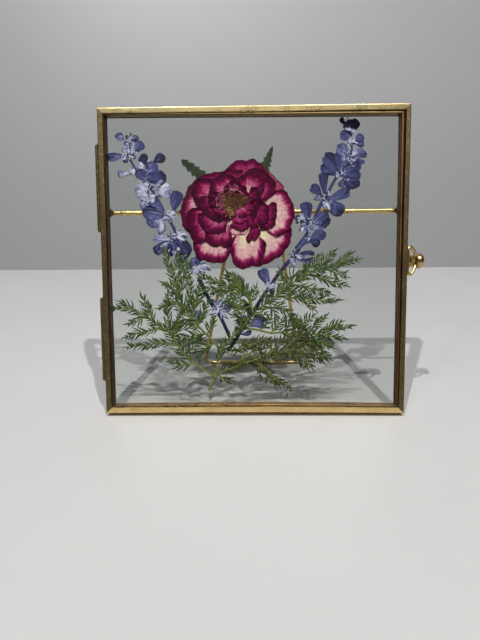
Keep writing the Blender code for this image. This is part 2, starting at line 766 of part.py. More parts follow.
def feather(points, leaflet, bare=2):
    """A twig's outline with pointed leaflets along both sides.

    The leaflets lean forward at a fixed angle and shorten towards the tip.
    """
    path = smooth_path(in_metres(points), LEAFLET_SPACING)
    last = len(path) - 1
    sides = {1: [], -1: []}
    for index in range(last):
        forward, left = sideways(path, index)
        fade = 1 - 0.6 * index / last
        half = TWIG_WIDTH * MM / 2 * (0.5 + 0.5 * fade)
        ahead = path[index].lerp(path[index + 1], 0.45)
        for side, outline in sides.items():
            outline.append(path[index] + left * side * half)
            if index < bare and last > 3:
                continue
            length = leaflet * MM * fade
            lean = forward * math.cos(LEAFLET_ANGLE) + left * side * math.sin(LEAFLET_ANGLE)
            outline.append(path[index] + left * side * half + lean * length)
            outline.append(ahead + left * side * half * 0.9)
    outline = sides[1] + [path[-1]] + sides[-1][::-1]
    return [tuple(point) for point in outline]


def make_sprigs(root):
    """The feathery greenery, each sprig one piece from its fork to its tips."""
    for name, (main_twig, side_twigs, depth, leaflet) in SPRIGS.items():
        sprig = pressed_piece(
            name, feather(main_twig, leaflet), depth, LEAF_THICKNESS, "leaf_green", root
        )
        if side_twigs:
            outlines = [feather(twig, leaflet * 0.85, 1) for twig in side_twigs]
            fuse(sprig, outlines, depth, SIDE_TWIG_THICKNESS, 0.015 * MM, root)


# ---------------------------------------------------------------- assembly


def main():
    clear_scene()
    left_end = HINGE_X - KNUCKLE_RADIUS
    right_end = KNOB_BASE_X + KNOB_LENGTH
    foot_back = upright_to_level(ROD_Y, ROD_Z)[0] + leg_reach()[1] + LEG_WIRE
    origin = (-(left_end + right_end) / 2, -foot_back / 2, rest_height())
    root = add_empty("lean", None, (0, 0, 0), (-LEAN, 0, 0))
    root.location = origin
    door = add_empty("door_hinge", root, (HINGE_X, HINGE_Y, 0))
    make_frame("back", BACK_FRAME_Y, BACK_PANE_Y, root)
    make_frame("door", 0, FRONT_PANE_Y, door)
    make_hinges(root, door)
    make_clasp(root, door)
    make_stand(root)
    make_rose(root)
    make_spikes(root)
    make_sprigs(root)


main()
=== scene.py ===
"""Pressed flower frame: brass, glass, petals and leaves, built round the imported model.

Pieces are laid out in the frame's own upright coordinates in millimetres, with X to the
right, Y going back from the front face and Z up along the frame. place() leans them back
with it and turns them into metres.
"""

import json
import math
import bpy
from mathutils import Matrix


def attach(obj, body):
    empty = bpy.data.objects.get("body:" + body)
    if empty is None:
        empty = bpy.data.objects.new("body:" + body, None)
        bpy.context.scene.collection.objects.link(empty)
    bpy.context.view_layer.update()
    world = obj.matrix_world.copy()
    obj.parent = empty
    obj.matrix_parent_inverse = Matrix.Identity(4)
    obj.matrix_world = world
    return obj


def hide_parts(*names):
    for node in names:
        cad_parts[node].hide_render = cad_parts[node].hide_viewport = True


bl_info = {
    "name": "Pressed Flower Frame",
    "version": (1, 0, 0),
    "blender": (4, 5, 0),
    "location": "3D View > Sidebar > Flower Frame",
    "description": "Builds a hinged brass and glass frame with pressed flowers in it",
    "category": "Add Mesh",
}

import bpy
import numpy as np
from bpy.props import FloatProperty, FloatVectorProperty, PointerProperty

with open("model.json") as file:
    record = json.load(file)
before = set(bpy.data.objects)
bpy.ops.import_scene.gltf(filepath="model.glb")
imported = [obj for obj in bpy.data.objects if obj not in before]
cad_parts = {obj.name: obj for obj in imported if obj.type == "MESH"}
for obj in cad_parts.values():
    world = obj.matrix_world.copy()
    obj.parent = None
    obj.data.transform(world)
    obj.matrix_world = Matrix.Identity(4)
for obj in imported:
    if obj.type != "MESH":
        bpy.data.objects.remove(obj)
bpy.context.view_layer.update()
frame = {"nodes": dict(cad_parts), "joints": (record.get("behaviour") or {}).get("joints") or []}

MM = 0.001
HALF_SIDE = 76.0
FRAME_DEPTH = 8.0
DOOR_HINGE = next(j for j in frame["joints"] if j["name"] == "door_swing")
STAND_HINGE = next(j for j in frame["joints"] if j["name"] == "stand_fold")
HINGE_PLACE = np.array([-77.45, 4.0, HALF_SIDE])
UP = -np.array(DOOR_HINGE["axis"])
AXES = np.array([[1.0, 0.0, 0.0], [0.0, UP[2], -UP[1]], UP])
ORIGIN = np.array(DOOR_HINGE["pos_m"]) - MM * (HINGE_PLACE @ AXES)


def place(points):
    """Upright millimetres to metres in the room, leaned back with the frame."""
    return ORIGIN + MM * (np.asarray(points, float) @ AXES)


# ---------------------------------------------------------------- shapes


def smooth_step(low, high, value):
    """0 up to low, 1 from high, and a soft S between them."""
    share = np.clip((value - low) / (high - low), 0, 1)
    return share * share * (3 - 2 * share)


def smooth_path(points, count):
    """Points evenly spaced along the smooth curve through the given ones.

    Between two of them it is the cubic that leaves and arrives in parallel with the
    lines that join their neighbours.
    """
    given = np.asarray(points, float)
    padded = np.vstack([2 * given[0] - given[1], given, 2 * given[-1] - given[-2]])
    a, b, c, d = padded[:-3], padded[1:-2], padded[2:-1], padded[3:]
    t = np.linspace(0, 1, 16, endpoint=False)[:, None, None]
    bend = (2 * a - 5 * b + 4 * c - d) * t**2 + (3 * b - a - 3 * c + d) * t**3
    curve = b + ((c - a) * t + bend) / 2
    curve = np.vstack([curve.transpose(1, 0, 2).reshape(-1, given.shape[1]), given[-1:]])
    gone = np.cumsum([0, *np.linalg.norm(np.diff(curve, axis=0), axis=1)])
    at = np.linspace(0, gone[-1], count)
    return np.stack([np.interp(at, gone, axis) for axis in curve.T], axis=1)


def path_length(points):
    return float(np.linalg.norm(np.diff(points, axis=0), axis=1).sum())


def compass(angle):
    """Flat unit directions at angles in radians."""
    return np.stack([np.cos(angle), np.sin(angle)], 1)


def rotated(way, angle):
    """Flat directions turned anticlockwise by angles in radians."""
    cos, sin = np.cos(angle), np.sin(angle)
    return np.stack([way[:, 0] * cos - way[:, 1] * sin, way[:, 0] * sin + way[:, 1] * cos], 1)


def per_body(value, count):
    """One number for each body, shaped to spread over its rings of points."""
    return np.broadcast_to(np.asarray(value, float), (count,))[:, None, None]


def closed_bodies(rings, start, end, **marks):
    """Closed bodies: each skin is rings of points, and a point closes each of its ends.

    rings is (bodies, rings, points round, 3), and start and end are (bodies, 3). Each
    mark is a number per ring point, kept as a mesh attribute.
    """
    bodies, count, round_, _ = rings.shape
    each = count * round_ + 2
    points = np.concatenate([rings.reshape(bodies, -1, 3), start[:, None], end[:, None]], axis=1)
    column = np.arange(round_)
    beside = (column + 1) % round_
    row = np.arange(count - 1)[:, None] * round_
    quads = np.stack(
        [row + column, row + beside, row + beside + round_, row + column + round_], -1
    ).reshape(-1, 4)
    last = (count - 1) * round_
    caps = np.concatenate(
        [
            np.stack([np.full(round_, each - 2), beside, column], -1),
            np.stack([last + column, last + beside, np.full(round_, each - 1)], -1),
        ]
    )
    shift = (np.arange(bodies) * each)[:, None, None]
    spread = {}
    for name, values in marks.items():
        values = np.broadcast_to(values, (bodies, count, round_))
        ends = np.stack([values[:, 0].mean(1), values[:, -1].mean(1)], axis=1)
        spread[name] = np.concatenate([values.reshape(bodies, -1), ends], 1).ravel()
    faces = [(quads[None] + shift).reshape(-1, 4), (caps[None] + shift).reshape(-1, 3)]
    return points.reshape(-1, 3), faces, spread


def open_sheet(grid, **marks):
    """An open sheet over a grid of points (rows, columns, 3)."""
    rows, columns, _ = grid.shape
    row, column = np.meshgrid(np.arange(rows - 1), np.arange(columns - 1), indexing="ij")
    corner = row * columns + column
    quads = np.stack([corner, corner + 1, corner + columns + 1, corner + columns], -1)
    spread = {k: np.broadcast_to(v, (rows, columns)).ravel() for k, v in marks.items()}
    return grid.reshape(-1, 3), [quads.reshape(-1, 4)], spread


def blades(root, tip, width, outline, depth, *, thick, rows, round_, lift=0, bow=0, cup=0,
           **marks):
    """Flattened bodies that run from a root to a tip, all worked out at once.

    A middle line goes straight from root to tip and bows to one side by a sine. At each
    share v of its length the section is an ellipse, as wide as outline(v) times the
    width and as thick as the square root of sin(pi v) times the thickness. lift takes
    the tip towards the viewer, and cup raises both edges.
    """
    root, tip = np.atleast_2d(np.asarray(root, float)), np.atleast_2d(np.asarray(tip, float))
    count = len(root)
    width, depth, lift, thick, bow, cup = (
        per_body(value, count) for value in (width, depth, lift, thick, bow, cup)
    )
    v = np.linspace(0, 1, rows + 2)[1:-1][None, :, None]
    turn = (np.arange(round_) * 2 * math.pi / round_)[None, None, :]
    run = (tip - root)[:, None, None]
    length = np.linalg.norm(run, axis=-1)
    ahead = run / length[..., None]
    left = np.stack([-ahead[..., 1], ahead[..., 0]], axis=-1)
    across = np.cos(turn) * outline(v) * width / 2
    arch = np.sin(math.pi * v)
    flat = root[:, None, None] + run * v[..., None]
    flat = flat + left * (across + length * bow * arch)[..., None]
    dome = thick / 2 * np.sqrt(arch) * np.sin(turn)
    y = depth - lift * v - dome - cup * np.cos(turn) ** 2 * arch
    rings = np.stack([flat[..., 0], y + 0 * across, flat[..., 1]], axis=-1)
    start = np.stack([root[:, 0], depth[:, 0, 0], root[:, 1]], axis=-1)
    end = np.stack([tip[:, 0], (depth - lift)[:, 0, 0], tip[:, 1]], axis=-1)
    own = {name: per_body(value, count) for name, value in marks.items()}
    return closed_bodies(
        rings, start, end, along=v + 0 * across, across=np.cos(turn) + 0 * across, **own
    )


def swept(path, half_wide, half_thick, reference, round_, **marks):
    """A tube along a path of 3D points, with rounded ends.

    At each point the section is an ellipse in the plane across the path. Its thin way
    is across both the path and a reference direction that the path never follows. Each
    end has one more ring, 0.72 of the last one's size, and then a point.
    """
    path = np.asarray(path, float)
    count = len(path)
    ahead = np.gradient(path, axis=0)
    ahead /= np.linalg.norm(ahead, axis=1)[:, None]
    side = np.cross(reference, ahead)
    side /= np.linalg.norm(side, axis=1)[:, None]
    out = np.cross(ahead, side)
    turn = np.arange(round_) * 2 * math.pi / round_
    wide, thick = per_body(half_wide, count), per_body(half_thick, count)
    rings = (
        path[:, None]
        + side[:, None] * wide * np.cos(turn)[None, :, None]
        + out[:, None] * thick * np.sin(turn)[None, :, None]
    )
    cap = 0.55 * float(min(wide[0, 0, 0], thick[0, 0, 0]))
    ends, tips = [path[0] - ahead[0] * cap, path[-1] + ahead[-1] * cap], []
    for end, at in zip(ends, (0, -1)):
        tips.append(end + (rings[at] - path[at]) * 0.72 - (end - path[at]) * 0.25)
    rings = np.concatenate([tips[0][None], rings, tips[1][None]])[None]
    along = np.linspace(0, 1, count + 2)[None, :, None]
    return closed_bodies(
        rings, ends[0][None], ends[1][None], along=along, across=np.cos(turn)[None, None], **marks
    )


def turned(outline, centre, axis, side, round_, **marks):
    """A turned body: its outline of (radius, height along the axis) carried round.

    A smooth curve joins the outline's points. The first and the last lie on the axis.
    """
    profile = smooth_path(outline, len(outline) * 6)
    centre, axis, side = (np.asarray(way, float) for way in (centre, axis, side))
    turn = (np.arange(round_) * 2 * math.pi / round_)[:, None]
    way = np.cos(turn) * side + np.sin(turn) * np.cross(axis, side)
    heights = centre + profile[:, 1, None] * axis
    rings = heights[1:-1, None] + profile[1:-1, 0, None, None] * way
    return closed_bodies(rings[None], heights[:1], heights[-1:], **marks)


def new_object(name, points, faces):
    """An object with a mesh of its own, linked to the scene."""
    mesh = bpy.data.meshes.new(name)
    mesh.from_pydata(np.asarray(points).tolist(), [], faces)
    obj = bpy.data.objects.new(name, mesh)
    bpy.context.scene.collection.objects.link(obj)
    return obj


def add_piece(name, parts, material, body, replaced=()):
    """One named piece made of parts, riding on a body and standing for CAD nodes."""
    starts = np.cumsum([0] + [len(points) for points, _, _ in parts])
    points = np.concatenate([points for points, _, _ in parts])
    faces = []
    for start, (_, groups, _) in zip(starts, parts):
        for group in groups:
            faces += (group + start).tolist()
    obj = new_object(name, place(points), faces)
    mesh = obj.data
    for key in parts[0][2]:
        values = np.concatenate([marks[key] for _, _, marks in parts])
        attribute = mesh.attributes.new(key, "FLOAT", "POINT")
        attribute.data.foreach_set("value", values.astype(np.float32))
    mesh.shade_smooth()
    mesh.validate()
    mesh.materials.append(material)
    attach(obj, body)
    if replaced:
        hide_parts(*replaced)
    return obj


def add_growth(name, parts, material, stands_for=""):
    """A piece of the flowers or leaves, which stay with the back frame."""
    replaced = [stands_for] if stands_for else []
    return add_piece(name, parts, material, "back_frame", replaced)


def dress(material, *nodes):
    """Gives CAD nodes a material."""
    for name in nodes:
        for material_slot in frame["nodes"][name].material_slots:
            material_slot.material = material


# ---------------------------------------------------------------- finishes


def wire(tree, socket, value):
    """Links an output to a socket, or sets a plain value on it."""
    if isinstance(value, bpy.types.NodeSocket):
        tree.links.new(value, socket)
    else:
        socket.default_value = value


def node(tree, kind, feeds=None, **settings):
    """Adds a shader node. feeds maps its inputs to values or to outputs that feed them."""
    made = tree.nodes.new(kind)
    for key, value in settings.items():
        setattr(made, key, value)
    for socket, value in (feeds or {}).items():
        wire(tree, made.inputs[socket], value)
    return made


def feed(tree, made, **values):
    """Feeds a node's inputs. An input's name has _ here in place of a space."""
    for socket, value in values.items():
        wire(tree, made.inputs[socket.replace("_", " ")], value)


def mark(tree, name):
    return node(tree, "ShaderNodeAttribute", attribute_name=name).outputs["Fac"]


def noise(tree, scale, vector=None, detail=3, roughness=0.5):
    """Noise over the piece's own coordinates, or over a vector."""
    vector = vector or node(tree, "ShaderNodeTexCoord").outputs["Object"]
    feeds = {"Vector": vector, "Scale": scale, "Detail": detail, "Roughness": roughness}
    return node(tree, "ShaderNodeTexNoise", feeds).outputs["Fac"]


def ranged(tree, value, low, high, out_low=0.0, out_high=1.0):
    feeds = {0: value, 1: low, 2: high, 3: out_low, 4: out_high}
    return node(tree, "ShaderNodeMapRange", feeds).outputs["Result"]


def maths(tree, operation, first, second):
    return node(tree, "ShaderNodeMath", {0: first, 1: second}, operation=operation).outputs[0]


def plus(tree, first, second):
    return maths(tree, "ADD", first, second)


def times(tree, first, second):
    return maths(tree, "MULTIPLY", first, second)


def mixed(tree, factor, first, second):
    """Two colours mixed. A colour without its fourth number is opaque."""
    first, second = ((*c, 1) if isinstance(c, tuple) else c for c in (first, second))
    feeds = {0: factor, 6: first, 7: second}
    return node(tree, "ShaderNodeMix", feeds, data_type="RGBA").outputs[2]


def ramp(tree, value, stops):
    """A colour ramp over (position, colour) stops."""
    made = node(tree, "ShaderNodeValToRGB", {"Fac": value})
    elements = made.color_ramp.elements
    while len(elements) < len(stops):
        elements.new(1.0)
    for element, (position, colour) in zip(elements, stops):
        element.position = position
        element.color = (*colour, 1)
    return made.outputs["Color"]


def bump(tree, height, distance):
    feeds = {"Height": height, "Distance": distance * MM, "Strength": 1.0}
    return node(tree, "ShaderNodeBump", feeds).outputs["Normal"]


def new_material(name, **values):
    """A material with a Principled shader and the plain values set on its own sockets."""
    material = bpy.data.materials.new(name)
    material.use_nodes = True
    shader = material.node_tree.nodes["Principled BSDF"]
    feed(material.node_tree, shader, **values)
    return material, material.node_tree, shader


def new_group(name, inputs, outputs):
    """A shader node group with named inputs, each with its default, and named outputs."""
    tree = bpy.data.node_groups.new(name, "ShaderNodeTree")
    for socket, default in inputs.items():
        kind = "NodeSocketFloat" if isinstance(default, float) else "NodeSocketColor"
        tree.interface.new_socket(socket, in_out="INPUT", socket_type=kind).default_value = default
    for socket, kind in outputs.items():
        tree.interface.new_socket(socket, in_out="OUTPUT", socket_type=kind)
    given = tree.nodes.new("NodeGroupInput").outputs
    return tree, given, tree.nodes.new("NodeGroupOutput").inputs


def place_group(tree, name, **values):
    made = node(tree, "ShaderNodeGroup", node_tree=bpy.data.node_groups[name])
    feed(tree, made, **values)
    return made.outputs


def build_worn_brass_group():
    """Brass that has dulled in soft patches, with dark specks and small bare spots."""
    tree, given, out = new_group(
        "Worn brass",
        {
            "Bright": (0.8, 0.6, 0.3, 1),
            "Dull": (0.4, 0.3, 0.15, 1),
            "Tarnish": 0.5,
            "Smooth": 0.25,
            "Worn": 0.3,
        },
        {"Color": "NodeSocketColor", "Roughness": "NodeSocketFloat", "Height": "NodeSocketFloat"},
    )
    speck_colour, bare_colour = (0.07, 0.045, 0.02), (0.86, 0.7, 0.4)
    patches = ranged(tree, noise(tree, 95, detail=4, roughness=0.6), 0.38, 0.66)
    specks = ranged(tree, noise(tree, 900, roughness=0.7), 0.5, 0.9)
    spots = times(tree, specks, given["Tarnish"])
    bare = ranged(tree, noise(tree, 1300, detail=4, roughness=0.7), 0.58, 0.68)
    colour = mixed(tree, times(tree, patches, 0.8), given["Bright"], given["Dull"])
    colour = mixed(tree, spots, colour, speck_colour)
    colour = mixed(tree, times(tree, bare, given["Worn"]), colour, bare_colour)
    rubbed = ranged(tree, noise(tree, 2600, detail=2), 0.3, 0.7, 0.0, 0.12)
    rough = plus(tree, given["Smooth"], ranged(tree, patches, 0, 1, 0.0, 0.16))
    rough = plus(tree, rough, times(tree, spots, 0.25))
    height = plus(tree, noise(tree, 170, detail=2), times(tree, specks, -0.03))
    tree.links.new(colour, out["Color"])
    tree.links.new(plus(tree, rough, rubbed), out["Roughness"])
    tree.links.new(height, out["Height"])


def build_fibres_group():
    """Fine veins that run from a petal's or leaf's root to its rim, and soft blotches."""
    tree, given, out = new_group(
        "Fibres",
        {"Veins": 9.0, "Length": 1.2, "Blotch": 300.0},
        {"Veins": "NodeSocketFloat", "Blotches": "NodeSocketFloat"},
    )
    across = times(tree, mark(tree, "across"), given["Veins"])
    along = times(tree, mark(tree, "along"), given["Length"])
    own = node(tree, "ShaderNodeCombineXYZ", {0: across, 1: along, 2: mark(tree, "own")})
    veins = noise(tree, 1.0, own.outputs[0], roughness=0.6)
    blotches = noise(tree, given["Blotch"], detail=4, roughness=0.65)
    tree.links.new(ranged(tree, veins, 0.3, 0.7), out["Veins"])
    tree.links.new(ranged(tree, blotches, 0.3, 0.7), out["Blotches"])


def brass(name, bright, dull, tarnish, smooth, waviness, bare=0.1, lip=None):
    """Worn brass. On a rail its lip has a colour of its own, and the seam is dark."""
    # Painted shade: the seam, the hem behind the pane and narrow lips are darkened.
    material, tree, shader = new_material(name, Metallic=1.0)
    worn = place_group(
        tree, "Worn brass", Bright=(*bright, 1), Dull=(*dull, 1), Tarnish=tarnish, Smooth=smooth,
        Worn=bare,
    )
    colour = worn["Color"]
    if lip:
        inner = mark(tree, "lip")
        colour = mixed(tree, ranged(tree, inner, 0, 1, 0, 0.85), colour, lip)
        # Painted shade: marks from 1 to 2 mix in near black on the seam, the hem behind the pane
        # and narrow lips.
        colour = mixed(tree, ranged(tree, inner, 1, 2, 0, 1.4), colour, (0.03, 0.014, 0.008))
    normal = bump(tree, worn["Height"], waviness)
    feed(tree, shader, Base_Color=colour, Roughness=worn["Roughness"], Normal=normal)
    return material


def clear_glass(settings):
    """Clear glass. Light on what lies behind passes it straight, only a little dimmer."""
    material, tree, shader = new_material(
        "pane glass", Transmission_Weight=1.0, IOR=settings.ior, Roughness=0.0,
        Base_Color=(*settings.tint, 1),
    )
    path = node(tree, "ShaderNodeLightPath").outputs
    lit = maths(tree, "MAXIMUM", path["Is Shadow Ray"], path["Is Diffuse Ray"])
    through = node(tree, "ShaderNodeBsdfTransparent", {"Color": (*settings.dimming, 1)})
    feeds = {0: lit, 1: shader.outputs[0], 2: through.outputs[0]}
    both = node(tree, "ShaderNodeMixShader", feeds)
    tree.links.new(both.outputs[0], tree.nodes["Material Output"].inputs["Surface"])
    return material


def growth(name, finish, fibre, swing, stops, relief, tone="tone", edge=None, stain=None):
    """A dry petal or leaf: a colour ramp over its tone, which its fibres move.

    finish is roughness and gloss. fibre is the veins across it, their breaks along it
    and the fineness of the blotches. swing says how far each of them lowers and raises
    the tone, and they stand out by the relief in millimetres. edge adds a share times
    the place along it to a power, and stain is a colour for its warm patch.
    """
    material, tree, shader = new_material(name, Roughness=finish[0], Specular_IOR_Level=finish[1])
    fibres = place_group(tree, "Fibres", Veins=fibre[0], Length=fibre[1], Blotch=fibre[2])
    value = mark(tree, tone)
    for kind, (low, high) in swing.items():
        value = plus(tree, value, ranged(tree, fibres[kind], 0, 1, low, high))
    if edge:
        share, power = edge
        outward = maths(tree, "POWER", mark(tree, "along"), power)
        value = plus(tree, value, times(tree, outward, share))
    colour = ramp(tree, value, stops)
    if stain:
        colour = mixed(tree, times(tree, mark(tree, "warm"), 0.6), colour, stain)
    height = fibres["Blotches"]
    if "Veins" in swing:
        height = plus(tree, fibres["Veins"], height)
    feed(tree, shader, Base_Color=colour, Normal=bump(tree, height, relief))
    return material


def petal_material(settings):
    """Rose petal: cream at its root, through pink and magenta to a burgundy rim."""
    stops = [
        (0.0, settings.cream), (0.24, settings.blush), (0.46, settings.pink),
        (0.66, settings.magenta), (0.84, settings.burgundy), (1.0, settings.rim),
    ]
    swing = {"Veins": (-0.07, 0.07), "Blotches": (-0.12, 0.12)}
    return growth("rose petal", (0.7, 0.08), (36.0, 1.6, 700.0), swing, stops, 0.07, "dye",
                  stain=(0.62, 0.24, 0.16))


def floret_material(settings):
    """Blue floret: white-lavender to navy, with darker veins and rim."""
    stops = [
        (0.0, settings.white), (0.22, settings.lavender), (0.5, settings.blue),
        (0.72, settings.violet), (0.88, settings.navy), (1.0, settings.dark),
    ]
    swing = {"Veins": (-0.34, 0.32), "Blotches": (-0.1, 0.1)}
    return growth("blue floret", (0.65, 0.15), (8.0, 0.8, 900.0), swing, stops, 0.05,
                  edge=(0.16, 6.0))


def leaf_material(name, stem, leaf, tip):
    """Green growth: yellow-green at the stem, darker out to the tips."""
    swing = {"Veins": (-0.1, 0.1), "Blotches": (-0.2, 0.2)}
    stops = [(0.0, stem), (0.5, leaf), (1.0, tip)]
    return growth(name, (0.6, 0.15), (3.0, 2.0, 500.0), swing, stops, 0.04, edge=(0.35, 1.0))


def stamen_material():
    """Dry stamens: olive, brown and gold, some of them pale or rosy."""
    stops = [
        (0.0, (0.034, 0.011, 0.008)), (0.3, (0.13, 0.04, 0.014)), (0.55, (0.28, 0.16, 0.04)),
        (0.76, (0.50, 0.34, 0.12)), (0.8, (0.17, 0.02, 0.06)), (0.92, (0.24, 0.05, 0.1)),
        (1.0, (0.48, 0.20, 0.25)),
    ]
    swing = {"Blotches": (-0.15, 0.15)}
    return growth("rose stamens", (0.75, 0.2), (3.0, 2.0, 900.0), swing, stops, 0.05)


def stage_material(name, colour, variation, roughness, scale):
    """A plain surface with faint clouds of a slightly darker shade."""
    material, tree, shader = new_material(name, Specular_IOR_Level=0.3)
    soft = noise(tree, scale, detail=5, roughness=0.6)
    grain = noise(tree, scale * 120, roughness=0.7)
    soft = ranged(tree, plus(tree, soft, grain), 0.7, 1.3)
    darker = tuple(channel * (1 - variation) for channel in colour)
    rough = ranged(tree, soft, 0, 1, roughness - 0.05, roughness + 0.05)
    feed(tree, shader, Base_Color=mixed(tree, soft, darker, tuple(colour)), Roughness=rough)
    return material


# ---------------------------------------------------------------- what grows where

# All places in this section are (x, z) in upright millimetres, read off the flowers.

